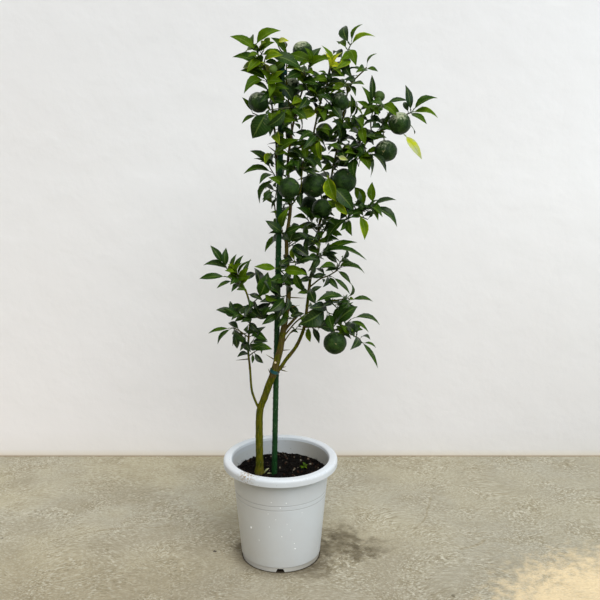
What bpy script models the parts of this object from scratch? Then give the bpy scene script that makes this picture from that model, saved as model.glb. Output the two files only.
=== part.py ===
"""Potted yuzu tree: a grafted citrus on a green garden stake in a light grey nursery pot.

Metres, +Z up. The origin is the middle of the pot's foot, on the ground; the front is -Y.
Plant positions are written in centimetres, as a grower would measure them with a ruler from
the middle of the pot: across, depth (minus is towards the front), height.
"""

import math
import random

import bmesh
import bpy
from mathutils import Matrix, Vector, geometry
from mathutils.bvhtree import BVHTree

# ---- driving dimensions -------------------------------------------------------------------
CM = 0.01
MM = 0.001
GAP = 0.0003            # clearance between two pieces that touch

POT_HEIGHT = 0.311
RIM_RADIUS = 0.165      # outside of the rolled rim
RIM_DROP = 0.022        # height of the rolled rim
MOUTH_RADIUS = 0.1403   # inside of the mouth
NECK_RADIUS = 0.1396    # outside of the wall just under the rim
BASE_RADIUS = 0.1162    # outside of the wall at the foot ledge
LEDGE_HEIGHT = 0.020    # the foot band under the ledge
FOOT_RADIUS = 0.110
FOOT_RING = 0.005       # thickness of the foot ring
WALL = 0.0025
WALL_START = 0.025      # height where the inside of the wall leaves the rounded floor edge
FLOOR = 0.003           # thickness of the pot's floor
FLOOR_LIFT = 0.015      # underside of the pot's floor above the ground
PAD_RADIUS = 0.030      # middle foot pad
GROOVES = (0.217, 0.203)
GROOVE_DEPTH = 0.0007
GROOVE_HALF = 0.0014
POT_SIDES = 40
NOTCH_BOTTOM = 0.027
NOTCH_TOP = 0.016
NOTCH_HEIGHT = 0.013
NOTCHES = 4
DRAINS = 8
DRAIN_RADIUS = 0.006
DRAIN_CIRCLE = 0.068
DRAIN_SIDES = 10

SOIL_LEVEL = 0.261
SOIL_BUMP = 0.0025      # the crumbs make it uneven by this much

STAKE_RADIUS = 0.008
STAKE_SIDES = 16
STAKE_WALL = 0.0012
STAKE_AT_SOIL = Vector((-0.018, -0.018, SOIL_LEVEL))
STAKE_TOP = Vector((0.010, -0.018, 1.430))
STAKE_DEPTH = 0.215     # how far it stands in the soil
CAP_LENGTH = 0.018
POINT_LENGTH = 0.035
POINT_WALL = 0.0008      # skin of the cap and of the point

TIE_LOWER = 0.581       # heights of the two bands
TIE_UPPER = 1.402
TIE_WIDTH = 0.010
TIE_THICKNESS = 0.0012

ROOT_PLACE = Vector((-0.060, -0.015, 0))
ROOT_DEPTH = 0.035      # root crown under the soil's surface
ROOT_TAPER = 0.8        # the crown's foot, as a share of its width at the surface
STEM_SIDES = 8
LIMB_SIDES = 6
THORN_RADII = (0.0015, 0.0004)

FRUIT_SIDES = 10
FRUIT_FLATNESS = 0.86   # height of a fruit as a share of its width
STALK_RADIUS = 0.0016
CALYX_RADIUS = 0.0035

TWIG_RADIUS = 0.0017
TWIG_TAPER = 0.3        # share of its thickness a twig loses on the way to its end
NODE_HALF = 0.002       # half the stretch of twig that a leaf stalk grows from
STALK_HALF = 0.0009
LEAF_THICKNESS = 0.0011
LEAF_WIDTH = 0.40       # blade width as a share of the leaf's length
LEAF_ARCH = 0.09        # how far a leaf arches, as a share of its length
LEAF_FOLD = 0.4         # rise of the blade's edges from the midrib, as a share of half its width
LEAF_CLEARANCE = 0.0004

# Limbs of the living wood: radius at its start and its end in millimetres, then its route.
STEM = (
    (15.5, (-6, -1.5, 26.0)), (12.0, (-6, -1.6, 28.0)), (10.6, (-6, -1.8, 32)),
    (10.5, (-6, -1.8, 38)), (10.4, (-5.9, -2, 44)), (9.6, (-5.5, -2.1, 47)),
    (8.6, (-4.4, -2.4, 50)), (8.2, (-3.1, -2.9, 54)), (7.9, (-1.8, -3.5, 57.5)),
    (7.4, (-1.0, -3.6, 60.5)), (6.6, (0.2, -3.4, 65)), (5.8, (1.0, -3.2, 70)),
    (5.3, (1.9, -2.8, 75)), (5.0, (2.5, -2.3, 80)), (4.8, (2.4, -1.6, 86)),
    (4.6, (2, -1.1, 92)), (4.5, (2.2, -0.9, 97)), (4.4, (2.9, -0.4, 102)),
    (4.2, (3.1, 0.2, 106)), (3.9, (2.6, 0.5, 111)), (3.6, (2.4, 0.4, 116)),
    (3.2, (3, -0.1, 121)), (2.9, (3.8, -0.5, 126)), (2.5, (5.2, -0.9, 131.5)),
    (2.2, (6.5, -1.2, 136)), (1.9, (7.0, -1.6, 139.5)),
)
LIMBS = {
    "left": (3.4, 2.4, ((-5.9, -1.9, 46.2), (-7.3, -2.2, 49.9), (-8, -2.8, 53.1),
                        (-8.3, -3.6, 59.3), (-8.7, -4.4, 64.8), (-8.4, -5, 69.4),
                        (-7.9, -5.5, 74.4), (-8, -5.8, 78.2), (-8.9, -6.2, 81.9),
                        (-10.5, -6.8, 85.4))),
    "right": (4.6, 2.6, ((-0.8, -3.5, 60.8), (1.2, -3, 61.9), (2.9, -2.5, 63.5),
                         (4.4, -1.8, 65.8), (6.5, -0.5, 70.6), (7.5, 0.5, 75),
                         (8, 1.2, 79.1), (8.7, 2.5, 84.5), (10.1, 3.2, 88),
                         (10.9, 4, 92.7), (10.9, 4.8, 97.3), (11.8, 5.5, 101.7),
                         (13.1, 6, 106.3), (14.2, 6, 111), (14.9, 5.5, 115.5))),
    "upper_left": (3.6, 1.9, ((3.0, 0.1, 104.5), (1.3, 1.6, 107.5), (-0.3, 1.1, 111.2),
                              (-0.7, 0, 116.7), (-0.6, -0.3, 120.5), (-1.2, -1.4, 126.1),
                              (-1.7, -2.2, 131.4), (-2.6, -3, 137.8), (-4.1, -3.6, 142.1),
                              (-5.3, -4.1, 144.5))),
    "upper_right": (2.7, 1.7, ((14.9, 5.5, 115), (15.7, 4.5, 119.4), (16.6, 3.2, 124.4),
                               (17.3, 2, 129.2), (17.8, 1, 133), (19.3, 0, 136.9),
                               (20.8, -0.6, 138.7), (22.2, -1, 140))),
    "centre": (3.0, 1.7, ((2.6, 0.1, 118.4), (5.7, -0.2, 120.2), (8.6, -0.5, 122),
                          (9.6, -0.8, 125.6), (10.4, -0.8, 129.5), (11.4, -0.5, 133.1),
                          (12.7, 0, 136.4), (14.3, 0.5, 139.7), (16.4, 0.8, 142.5),
                          (17.8, 0.8, 144.5))),
    "far_right": (2.8, 1.7, ((14.9, 5.5, 115.2), (17.8, 3.5, 119.3), (21.7, 1.5, 121.6),
                             (24.8, 0.2, 123.6), (29, 0.4, 125.2), (31.6, 0.7, 127.3),
                             (34.1, -0.5, 129))),
    "right_top": (1.9, 1.6, ((24.8, 0.2, 123.6), (24.4, 0.7, 126.2), (24.9, 0.7, 129.3),
                             (26.3, 0.8, 131.2))),
    "low_right": (2.9, 1.7, ((1.2, -3.1, 71), (4.6, -4, 73.4), (6.7, -4.8, 74.8),
                             (8.9, -5.8, 76.7), (12.4, -7, 79.1), (15.9, -8, 80.2),
                             (17.4, -8.4, 80.5))),
    "lowest_right": (2.5, 1.6, ((6.4, -0.5, 70.2), (10.6, -2.5, 70.9), (15, -4, 70.6),
                                (18, -5, 70.4), (21.3, -6.4, 69.1))),
    "middle_right": (2.2, 1.7, ((8.1, 1.7, 81), (11.2, 0.5, 83.9), (13.4, -0.5, 85),
                                (15.6, -1.4, 86.6))),
    "third_right": (2.4, 1.6, ((10.9, 4.2, 94.1), (13.1, 3, 97.7), (16.6, 2, 99.7),
                               (20.9, 1, 101.7), (23.6, 0.1, 103.8))),
    "low_left": (1.9, 1.6, ((-8.4, -4.9, 68.6), (-10.8, -6, 70.8), (-12.6, -6.7, 72))),
    "between_fruits": (2.0, 1.6, ((3.1, 0, 104.2), (4.6, -1.4, 106.5), (5.7, -2.5, 108.8),
                                  (6.1, -2.8, 112.3), (6.4, -2.4, 115.5), (7, -1.8, 118),
                                  (7.4, -1.3, 119.6))),
    "back_low": (2.8, 1.7, ((2.2, -1.2, 90), (2, 2.5, 92.5), (0, 6.5, 96), (-3, 10, 99.5),
                            (-4.5, 12, 103))),
    "back_middle": (2.6, 1.6, ((11.4, 5.1, 99.5), (12, 8.5, 103), (11, 12, 107.5),
                               (9.5, 14, 111.5))),
    "back_high": (2.6, 1.6, ((2.9, 0, 120.2), (2, 3.5, 123), (2.5, 7, 127), (4, 9.5, 131.5))),
    "tied_leader": (2.0, 1.6, ((3.5, -0.3, 124.8), (2.9, -1.6, 130.5), (2.3, -2.3, 135.5),
                               (2.1, -2, 140.4), (2.5, -1.6, 143.2))),
    "cut_stub": (3.2, 2.6, ((1.2, -3.1, 70.4), (2.9, -3, 71.9), (3.9, -2.7, 73.1))),
}
THORNS = (
    ((0.3, -3.4, 64.4), (3.0, -3.7, 64.7)), ((-1.0, -3.6, 61.5), (-3.8, -4.3, 63.5)),
    ((-8.5, -4.0, 62.1), (-12.1, -4.8, 62.0)), ((-2.4, -3.2, 55.9), (-3.9, -4.1, 57.6)),
    ((2.1, -1.1, 93.5), (4.1, -2.4, 95.4)), ((-0.7, -0.2, 118.8), (-2.9, -0.9, 120.6)),
)

# Fruits: middle (cm), diameter (mm), and the place on the wood that the stalk hangs from.
FRUITS = {
    "fruit_left_high": ((-5.1, -4.5, 132.2), 52, (-2.3, -2.6, 135.0)),
    "fruit_top": ((6.3, -1.0, 144.8), 49, (7.0, -1.6, 139.6)),
    "fruit_upper_middle": ((3.3, 0.8, 135.6), 51, (6.4, -1.2, 135.6)),
    "fruit_upper_right": ((16.1, -2.0, 132.1), 45, (18.2, 0.7, 134.0)),
    "fruitlet": ((26.6, -0.8, 133.8), 25, (25.5, 0.7, 130.1)),
    "fruit_far_right": ((31.7, -3.0, 126.7), 57, (32.5, 0.3, 128.0)),
    "fruit_right": ((28.4, -1.5, 119.3), 58, (27.6, 0.3, 124.8)),
    "fruit_stake": ((2.7, -5.0, 110.0), 55, (2.6, 0.5, 113.5)),
    "fruit_big_left": ((9.4, -0.3, 110.0), 66, (6.5, -2.3, 116.0)),
    "fruit_big_right": ((17.5, 0.0, 111.1), 65, (14.3, 5.9, 112.6)),
    "fruit_shaded": ((11.6, 1.2, 103.4), 53, (13.4, 6.0, 107.5)),
    "fruit_behind_low": ((8.2, 7.6, 103.2), 50, (12.0, 5.8, 102.6)),
    "fruit_behind_high": ((12.2, 4.5, 123.7), 46, (16.4, 3.5, 123.5)),
    "fruit_low": ((15.2, -7.8, 68.0), 61, (15.0, -4.0, 70.6)),
}

# Leafy shoots: the twig's route, then each leaf's tip and how far its face is turned towards
# the front, in degrees from lying face up. The last leaf grows from the twig's end.
SHOOTS = {
    "shoot_top_left": (((-5, -4, 144.5), (-6, -4.5, 146)), (
        (-12, -4.5, 149, 25), (-1, -8.5, 147.5, 55), (-8.5, 1.5, 145, 30), (-7, 1.5, 148.5, 30),
        (0.5, -4.5, 150.5, 40))),
    "shoot_upper_left": (((-3, -3.5, 140), (-3.5, -5, 142), (-3, -6, 144)), (
        (-11.5, -4.5, 144, 20), (-9.5, -1.5, 141, 30), (1, -9.5, 144.5, 40), (6, -7, 141, 35))),
    "shoot_stake_top": (((2.5, -1.6, 143), (2.2, -2, 144.5), (2, -2.2, 145.5)), (
        (4.5, 2, 142, 30), (-1.5, -4.5, 148.5, 40), (7, -4, 144, 30), (3, -3.5, 149.5, 30))),
    "shoot_left_shoulder": (((-2.5, -3, 137), (-3, -4.5, 137.5), (-2.5, -5.5, 138.5)), (
        (-9.5, -4, 140.5, 35), (-8.5, -9.5, 135, 30), (1, -10, 138, 45), (-4, -10.5, 142.5, 60),
        (-2, -9.5, 134, 30))),
    "shoot_left_of_fruit": (((-1.5, -2, 129.5), (-4, -4.5, 128), (-6, -6, 127.5)), (
        (-2, -9, 127, 30), (-4, -1, 124, 20), (-5.5, -10, 122.5, 80), (-9.5, -5, 133.5, 30),
        (-9.5, -6, 127, 30))),
    "shoot_upper_middle": (((4.5, -1, 129.5), (3.5, -3, 130.5), (4, -4.5, 131.5)), (
        (6, 1, 124, 30), (1, -6, 125.5, 40), (-2, -7.5, 127.5, 30), (7.5, -9, 128.5, 20),
        (0, -6.5, 137.5, 65))),
    "shoot_top_middle": (((7, -1.5, 138), (7.8, -2.8, 140.5), (7.8, -3.5, 141.5)), (
        (2, -6.5, 141, 15), (8, 4, 136.5, 30), (13, -6.5, 143.5, 35), (11, -2.5, 146, 20),
        (7, -6.5, 146, 80))),
    "shoot_gold": (((13, 0, 137), (13, -1, 139), (13.5, -1, 141.5)), (
        (8.5, -5.5, 138, 30), (17, -6, 139, 60), (11.5, -0.5, 146.5, 30), (12, -1, 144.5, 10),
        (16, -1, 144.5, 10))),
    "shoot_top_right": (((17.8, 0.5, 144.3), (18.5, 0, 146), (19, 0, 147)), (
        (16, -5.5, 143, 30), (16, 6.5, 147, 30), (20, -4.5, 141.5, 45), (25, 0, 149, 30),
        (17.5, 5, 151.5, 70), (21.5, 0, 152, 30))),
    "shoot_right_end": (((22, -1, 139.8), (23, -1, 141)), (
        (20, -7, 140, 30), (26, -1, 140, 40), (25.5, -1, 144.5, 15))),
    "shoot_right_pair": (((24.9, 0.7, 129.3), (24, -0.8, 130.5), (24.5, -1.2, 131.5)), (
        (22.5, 2, 136, 70), (20.5, -3.5, 132.5, 50), (26, -5.5, 129, 30), (24.5, 1, 138.5, 65))),
    "shoot_right_bow": (((26.3, 0.7, 131), (27, -0.8, 131.2), (28, -1.2, 131.5)), (
        (22, -3, 128.5, 20), (30.5, -6.5, 129, 50), (24, -6.5, 132.5, 30), (34, -1, 132.5, 25))),
    "shoot_right_drop": (((17, 2, 127), (18.5, 0.5, 127.5), (20.5, -0.5, 128)), (
        (17.5, 6.5, 129.5, 60), (19, -4.5, 125.5, 75), (19, 0.5, 134, 45), (20.5, -1.5, 132.5, 60),
        (22, -6.5, 126, 20))),
    "shoot_far_right": (((34.1, -0.6, 129), (35, -1.5, 129.5)), (
        (33, 2, 132, 60), (38.5, -6, 127, 30), (42, -1.5, 128.5, 35), (33.5, -1, 136.5, 60),
        (41.5, -1.5, 133.5, 30))),
    "shoot_faded_leaf": (((32.6, 0.2, 128), (34.3, -0.5, 126.5), (34.4, -1.6, 124.5)), (
        (36.5, 2.5, 123.5, 30), (37.5, -4, 117.5, 60))),
    "shoot_over_right_fruit": (((21.5, 1.2, 121.3), (22, -0.8, 119.8), (23, -1.8, 118.5)), (
        (20.5, -5.5, 118, 60), (18.5, -5.5, 121, 20), (25, 1, 112, 30), (27, -5.5, 124, 65),
        (28.5, -6.5, 115, 15))),
    "shoot_vee": (((9.3, -0.8, 124), (10, -2, 123.5), (10.5, -2.5, 123)), (
        (5.5, -6.5, 123, 20), (13.5, -7, 125.5, 30), (6.5, -7.5, 120.5, 30), (7.5, 3, 125, 40),
        (10.5, -7.5, 118, 80), (10.5, -0.5, 114.5, 75))),
    "shoot_dark": (((16, 4.2, 120.5), (16, 2, 119.5), (15.5, 0.5, 119.5)), (
        (13.5, 9.5, 118.5, 30), (20.5, -3.5, 122.5, 30), (20, 6.5, 118, 50), (17.5, -5.5, 117, 30),
        (14.5, 2.5, 127, 75))),
    "shoot_left_of_stake": (((-0.3, 1.1, 111), (-1.2, -0.3, 112.8), (-2.5, -1, 115)), (
        (-5.5, 0.5, 105, 30), (-5, -5.5, 111.5, 30), (-9.5, -0.5, 113.5, 25), (-6.5, -1, 117.5, 50),
        (-7.5, -1, 119.5, 35))),
    "shoot_inner": (((10.4, -0.8, 131), (9, -2, 132.5), (7.5, -3, 133.5)), (
        (12, -6.5, 128, 30), (13.5, -7, 133, 30), (8, -7.5, 136, 35), (9, 1, 127, 40),
        (5.5, -8.5, 131, 30))),
    "shoot_right_stair": (((23, 0.3, 103.4), (24.5, -1, 104.5), (25.5, -1.5, 105)), (
        (20.5, 3.5, 109, 60), (27.5, -6, 103, 20), (26.5, -5.5, 101.5, 10), (32, -3, 99.5, 30),
        (31.5, -1, 106.5, 20), (25, -1, 111, 75))),
    "shoot_variegated": (((13.6, 5.5, 107.2), (15, 2.5, 106.2), (15.5, -1.5, 105.8)), (
        (20.5, 2, 103, 60), (18, -0.5, 102.5, 70), (13, -7, 107, 85))),
    "shoot_right_step": (((17.5, 1.8, 99.9), (18, 0, 100), (19, -1, 100.5)), (
        (16.5, -4.5, 98.5, 30), (19.5, -5.5, 97, 60), (22.5, -4.5, 95.5, 30), (12.5, -1.5, 94, 30),
        (15.5, 3, 107.5, 50), (22.5, 4, 103.5, 40))),
    "shoot_middle_arch": (((10.6, 3.6, 90.5), (11, 1, 91), (11.5, -1, 91)), (
        (9, -1, 95, 60), (8, -1.5, 86.5, 40), (17, 3, 88, 10), (17, -2.5, 93.5, 40),
        (21, -0.5, 95, 30), (23.5, -6, 91.5, 25))),
    "shoot_middle_low": (((2.5, -2, 86.5), (4, -4, 88), (4.5, -4.5, 89.5)), (
        (-1, -6.5, 88.5, 20), (0.5, -6, 84, 30), (6.5, -4, 81.5, 60), (10, -7, 91.5, 35),
        (5, 0, 94, 50))),
    "shoot_low_right_tip": (((17.4, -8.4, 80.5), (18.5, -9, 81), (19, -9.5, 80.5)), (
        (16, -13.5, 81, 30), (10, -13, 82, 20), (19.5, -5.5, 83.5, 75), (17.5, -14.5, 80.5, 60),
        (24.5, -9.5, 80.5, 30))),
    "shoot_low_right_hang": (((12.5, -7, 79), (13, -8.5, 77), (14.5, -9, 76.5)), (
        (8, -13.5, 79.5, 30), (5.5, -12.5, 74.5, 65), (10.5, -12.5, 73.5, 60),
        (14.5, -14.5, 73.5, 40), (21, -9, 78.5, 40))),
    "shoot_lowest_right": (((20.8, -6.2, 69.2), (21.8, -7, 69), (22.5, -8, 68)), (
        (20.5, -0.5, 72, 30), (19.5, -13, 68, 30), (24.5, -10.5, 70, 30), (26.5, -13.5, 63.5, 20),
        (26.5, -7.5, 66.5, 20))),
    "shoot_low_right_upper": (((17, -4.8, 70.5), (18, -6, 72.5), (19.5, -7, 74.5)), (
        (17, 0.5, 72.5, 30), (20, -12, 71.5, 30), (17, -0.5, 75.5, 40), (24, -11, 72.5, 30),
        (26, -6.5, 73, 25))),
    "shoot_left_rosette": (((-10.4, -6.7, 85), (-10, -7.5, 86.5), (-10.5, -8, 88)), (
        (-6, -10.5, 88.5, 30), (-13, -11.5, 87.5, 50), (-20, -7.5, 89.5, 30), (-18, -7, 95, 30),
        (-14, -7, 94, 30), (-9.5, -7.5, 92, 60))),
    "shoot_left_far": (((-9, -6, 82), (-11.5, -7.5, 83), (-13.5, -8, 84.5)), (
        (-6.5, -4.5, 90.5, 60), (-16.5, -10.5, 82, 25), (-8.5, -12, 82.5, 40), (-11.5, -11, 80, 50),
        (-21.5, -7.5, 85.5, 30))),
    "shoot_left_big": (((-8, -6, 78), (-6, -6.5, 80), (-4, -7.5, 82)), (
        (-9, -11.5, 76.5, 20), (-4.5, -11, 76, 50), (-3, -6.5, 87.5, 60), (-6.5, -2.5, 88, 40),
        (-0.5, -9.5, 80.5, 65))),
    "shoot_left_fan": (((-8, -5.5, 73), (-10, -6.5, 74.5), (-11.5, -7.5, 75.5)), (
        (-5.5, -8, 71, 40), (-7.5, -9, 78, 30), (-12.5, -12, 76, 30), (-15, -2, 75.5, 30),
        (-17, -8, 77.5, 30))),
    "shoot_left_pair": (((-12, -6.5, 71.8), (-13, -7, 72)), (
        (-9, -11, 70, 60), (-11.5, -7, 66, 60), (-17, -8.5, 68, 30), (-19.5, -7, 70.5, 30))),
}
# Shoots behind, with leaves set round the twig by rule: route, number of leaves, leaf length (cm).
BACK_SHOOTS = {
    "shoot_back_low": (((-4.5, 12, 103), (-5.5, 14, 105), (-6, 15, 108)), 6, 7.5),
    "shoot_back_middle": (((9.5, 14, 111.5), (9, 15, 113), (8.5, 16, 115.5)), 6, 7.5),
    "shoot_back_high": (((4, 9.5, 131.5), (4.5, 10.5, 133), (4.5, 11.5, 135.5)), 6, 7.5),
}
# The seedling beside the trunk, written like a leafy shoot.
WEED = (((6.8, 2, 26), (6.8, 2, 27.3)), (
    (5.2, 1.6, 27.6, 10), (8.4, 2.2, 27.7, 10), (6.6, 3.2, 28, 10), (6.9, 1.0, 28.4, 20)))
WEED_RADIUS = 0.0009


# ---- shared modelling steps ---------------------------------------------------------------
def clear_scene():
    for item in list(bpy.data.objects):
        bpy.data.objects.remove(item, do_unlink=True)


def material(name, colour, roughness, metallic=0.0):
    made = bpy.data.materials.new(name)
    made.use_nodes = True
    shader = made.node_tree.nodes["Principled BSDF"]
    shader.inputs["Base Color"].default_value = (*colour, 1.0)
    shader.inputs["Roughness"].default_value = roughness
    shader.inputs["Metallic"].default_value = metallic
    return made


def finish_object(name, bm, look, smooth_angle=40):
    """Turn a bmesh into the named object, with its own copy of the material."""
    mesh = bpy.data.meshes.new(name)
    bm.to_mesh(mesh)
    bm.free()
    mesh.shade_smooth()
    mesh.set_sharp_from_angle(angle=math.radians(smooth_angle))
    item = bpy.data.objects.new(name, mesh)
    mesh.materials.append(look.copy())
    bpy.context.scene.collection.objects.link(item)
    return item


def cut(item, cutter, operation="DIFFERENCE"):
    """Boolean with a cutter that stays in the file as a wire guide."""
    cutter.hide_render = True
    cutter.display_type = "WIRE"
    change = item.modifiers.new(cutter.name, "BOOLEAN")
    change.operation = operation
    change.solver = "EXACT"
    change.object = cutter


def surface_tree(item):
    """The finished surface of an object, for finding what lies near it."""
    return BVHTree.FromObject(item, bpy.context.evaluated_depsgraph_get())


def metres(place):
    return Vector(place[:3]) * CM


def section(middle, axis, radius, sides, hint=Vector((1, 0, 0))):
    """Corners of a ring square to the axis, turning anticlockwise as seen from its tip."""
    across = (hint - hint.dot(axis) * axis).normalized()
    other = axis.cross(across)
    turns = [2 * math.pi * i / sides for i in range(sides)]
    return [middle + radius * (math.cos(a) * across + math.sin(a) * other) for a in turns]


def extrude_to(bm, face, corners):
    """Pull one face out of the body and set its corners."""
    grown = bmesh.ops.extrude_discrete_faces(bm, faces=[face])["faces"][0]
    for vertex, place in zip(grown.verts, corners):
        vertex.co = place
    return grown


def axes_along(route):
    """The direction of a route at each of its points."""
    steps = [(b - a).normalized() for a, b in zip(route, route[1:])]
    return [steps[0]] + [(a + b).normalized() for a, b in zip(steps, steps[1:])] + [steps[-1]]


def pull_tube(bm, route, radii, sides, axes=None, hint=Vector((1, 0, 0))):
    """A closed tapered tube, its end face pulled from ring to ring; gives that end face."""
    axes = axes or axes_along(route)
    base = [bm.verts.new(place) for place in section(route[0], axes[0], radii[0], sides, hint)]
    face = bm.faces.new(base)
    for middle, axis, radius in zip(route[1:], axes[1:], radii[1:]):
        face = extrude_to(bm, face, section(middle, axis, radius, sides, hint))
    bm.faces.new(reversed(base))
    return face


def tube_object(name, route, radii, sides, look):
    bm = bmesh.new()
    lean = (route[-1] - route[0]).normalized()
    hint = Vector((1, 0, 0)) if abs(lean.x) < 0.8 else Vector((0, 0, 1))
    pull_tube(bm, route, radii, sides, hint=hint)
    return finish_object(name, bm, look)


def turned(name, profile, sides, look, axis_foot=Vector(), axis=Vector((0, 0, 1))):
    """A round piece: the profile (radius, height) spun once round its axis."""
    bm = bmesh.new()
    points = [bm.verts.new((radius, 0, height)) for radius, height in profile]
    edges = [bm.edges.new(pair) for pair in zip(points, points[1:])]
    if profile[0][0] > 0:
        edges.append(bm.edges.new((points[-1], points[0])))
    bmesh.ops.spin(bm, geom=points + edges, cent=(0, 0, 0), axis=(0, 0, 1), dvec=(0, 0, 0),
                   angle=2 * math.pi, steps=sides, use_merge=True)
    bmesh.ops.remove_doubles(bm, verts=bm.verts, dist=1e-6)
    bmesh.ops.recalc_face_normals(bm, faces=bm.faces)
    lean = axis.to_track_quat("Z", "Y").to_matrix()
    bmesh.ops.rotate(bm, verts=bm.verts, cent=(0, 0, 0), matrix=lean)
    bmesh.ops.translate(bm, verts=bm.verts, vec=axis_foot)
    return finish_object(name, bm, look)


# ---- pot ----------------------------------------------------------------------------------
def wall_radius(height):
    """Outside radius of the pot's tapered wall."""
    share = (height - LEDGE_HEIGHT) / (POT_HEIGHT - RIM_DROP - LEDGE_HEIGHT)
    return BASE_RADIUS + (NECK_RADIUS - BASE_RADIUS) * share


def arc(middle, radius, start, end, steps):
    """Points of a round stretch of a profile; angles in degrees from straight outwards."""
    turns = [math.radians(start + (end - start) * i / steps) for i in range(steps + 1)]
    return [(middle[0] + radius * math.cos(a), middle[1] + radius * math.sin(a)) for a in turns]


def pot_profile():
    """Outline of the pot's section, from the foot pad round the rim and back to the floor."""
    lip = POT_HEIGHT - RIM_DROP
    under_rim = POT_HEIGHT - 0.004
    foot_inner = FOOT_RADIUS - FOOT_RING
    outline = [
        (0, 0), (PAD_RADIUS, 0), (PAD_RADIUS + 0.002, FLOOR_LIFT), (foot_inner - 0.001, FLOOR_LIFT),
        (foot_inner, 0), (FOOT_RADIUS, 0), (FOOT_RADIUS + 0.001, LEDGE_HEIGHT - 0.001),
        (BASE_RADIUS, LEDGE_HEIGHT),
    ]
    for height in reversed(GROOVES):
        outline.append((wall_radius(height - GROOVE_HALF), height - GROOVE_HALF))
        outline.append((wall_radius(height) - GROOVE_DEPTH, height))
        outline.append((wall_radius(height + GROOVE_HALF), height + GROOVE_HALF))
    outline += [(NECK_RADIUS, lip), (NECK_RADIUS + 0.0012, under_rim - 0.003),
                (NECK_RADIUS + 0.004, under_rim), (RIM_RADIUS - 0.006, under_rim),
                (RIM_RADIUS - 0.0035, under_rim - 0.004), (RIM_RADIUS - 0.003, lip)]
    outline += [(RIM_RADIUS - 0.0005, lip), (RIM_RADIUS, lip + 0.002)]
    outline += arc((RIM_RADIUS - 0.008, POT_HEIGHT - 0.008), 0.008, 0, 90, 3)
    outline += arc((MOUTH_RADIUS + 0.005, POT_HEIGHT - 0.005), 0.005, 90, 180, 2)
    outline += [(wall_radius(lip) - WALL, lip), (wall_radius(WALL_START) - WALL, WALL_START),
                (FOOT_RADIUS - WALL, FLOOR_LIFT + FLOOR), (0, FLOOR_LIFT + FLOOR)]
    return outline


def drain_notch(number, turn):
    """Cutter for one of the notches through the foot ring: a block narrowing upwards."""
    bm = bmesh.new()
    half_low = NOTCH_BOTTOM / 2
    half_high = NOTCH_TOP / 2
    below = 0.002
    widen = half_low + (half_low - half_high) * below / NOTCH_HEIGHT
    corners = [(-widen, -below), (widen, -below), (half_high, NOTCH_HEIGHT),
               (-half_high, NOTCH_HEIGHT)]
    inner = FOOT_RADIUS - FOOT_RING - 0.004
    outer = FOOT_RADIUS + 0.005
    front = bm.faces.new([bm.verts.new((x, -outer, z)) for x, z in corners])
    back = extrude_to(bm, front, [Vector((x, -inner, z)) for x, z in corners])
    near = [v for v in bm.verts if v not in set(back.verts)]
    bmesh.ops.contextual_create(bm, geom=near)
    bmesh.ops.recalc_face_normals(bm, faces=bm.faces)
    bmesh.ops.rotate(bm, verts=bm.verts, cent=(0, 0, 0), matrix=Matrix.Rotation(turn, 3, "Z"))
    return finish_object(f"notch_cutter_{number}", bm, LOOKS["pot"])


def build_pot():
    """The whole pot in one piece, its foot notches and drain holes cut through."""
    pot = turned("pot", pot_profile(), POT_SIDES, LOOKS["pot"])
    for number in range(NOTCHES):
        cut(pot, drain_notch(number, 2 * math.pi * number / NOTCHES))
    for number in range(DRAINS):
        turn = 2 * math.pi * (number + 0.5) / DRAINS
        middle = Vector((DRAIN_CIRCLE * math.cos(turn), DRAIN_CIRCLE * math.sin(turn), FLOOR_LIFT))
        reach = Vector((0, 0, 3 * FLOOR))
        route = [middle - reach, middle + reach]
        radii = [DRAIN_RADIUS, DRAIN_RADIUS]
        cut(pot, tube_object(f"drain_cutter_{number}", route, radii, DRAIN_SIDES, LOOKS["pot"]))
    return pot


# ---- soil ---------------------------------------------------------------------------------
def build_soil():
    """The block of potting soil, its pockets open for the root crown and the stake."""
    floor = FLOOR_LIFT + FLOOR + GAP
    slack = WALL + 2 * GAP
    low = WALL_START + GAP
    edge = SOIL_LEVEL - 0.003
    outline = [(0, floor), (FOOT_RADIUS - slack, floor), (wall_radius(low) - slack, low),
               (wall_radius(edge) - slack, edge)]
    outline += [(share * wall_radius(edge), SOIL_LEVEL) for share in (0.85, 0.6, 0.32, 0)]
    soil = turned("soil", outline, POT_SIDES, LOOKS["soil"])
    chance = random.Random(4)
    for vertex in soil.data.vertices:
        if vertex.co.z > SOIL_LEVEL - 0.001:
            vertex.co.z += chance.uniform(-SOIL_BUMP, SOIL_BUMP)
    levels = (SOIL_LEVEL - ROOT_DEPTH - GAP, SOIL_LEVEL, SOIL_LEVEL + 0.02)
    root = [ROOT_PLACE + Vector((0, 0, level)) for level in levels]
    crown = STEM[0][0] * MM + 2 * GAP
    radii = [ROOT_TAPER * crown, crown, crown]
    cut(soil, tube_object("root_pocket", root, radii, STEM_SIDES, LOOKS["soil"]))
    down = (STAKE_AT_SOIL - STAKE_TOP).normalized()
    hole = [STAKE_AT_SOIL + down * (STAKE_DEPTH + GAP), STAKE_AT_SOIL - down * 0.02]
    width = POINT_WALL + STAKE_RADIUS + 2 * GAP
    cut(soil, tube_object("stake_pocket", hole, [width, width], STAKE_SIDES, LOOKS["soil"]))
    return soil


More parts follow.
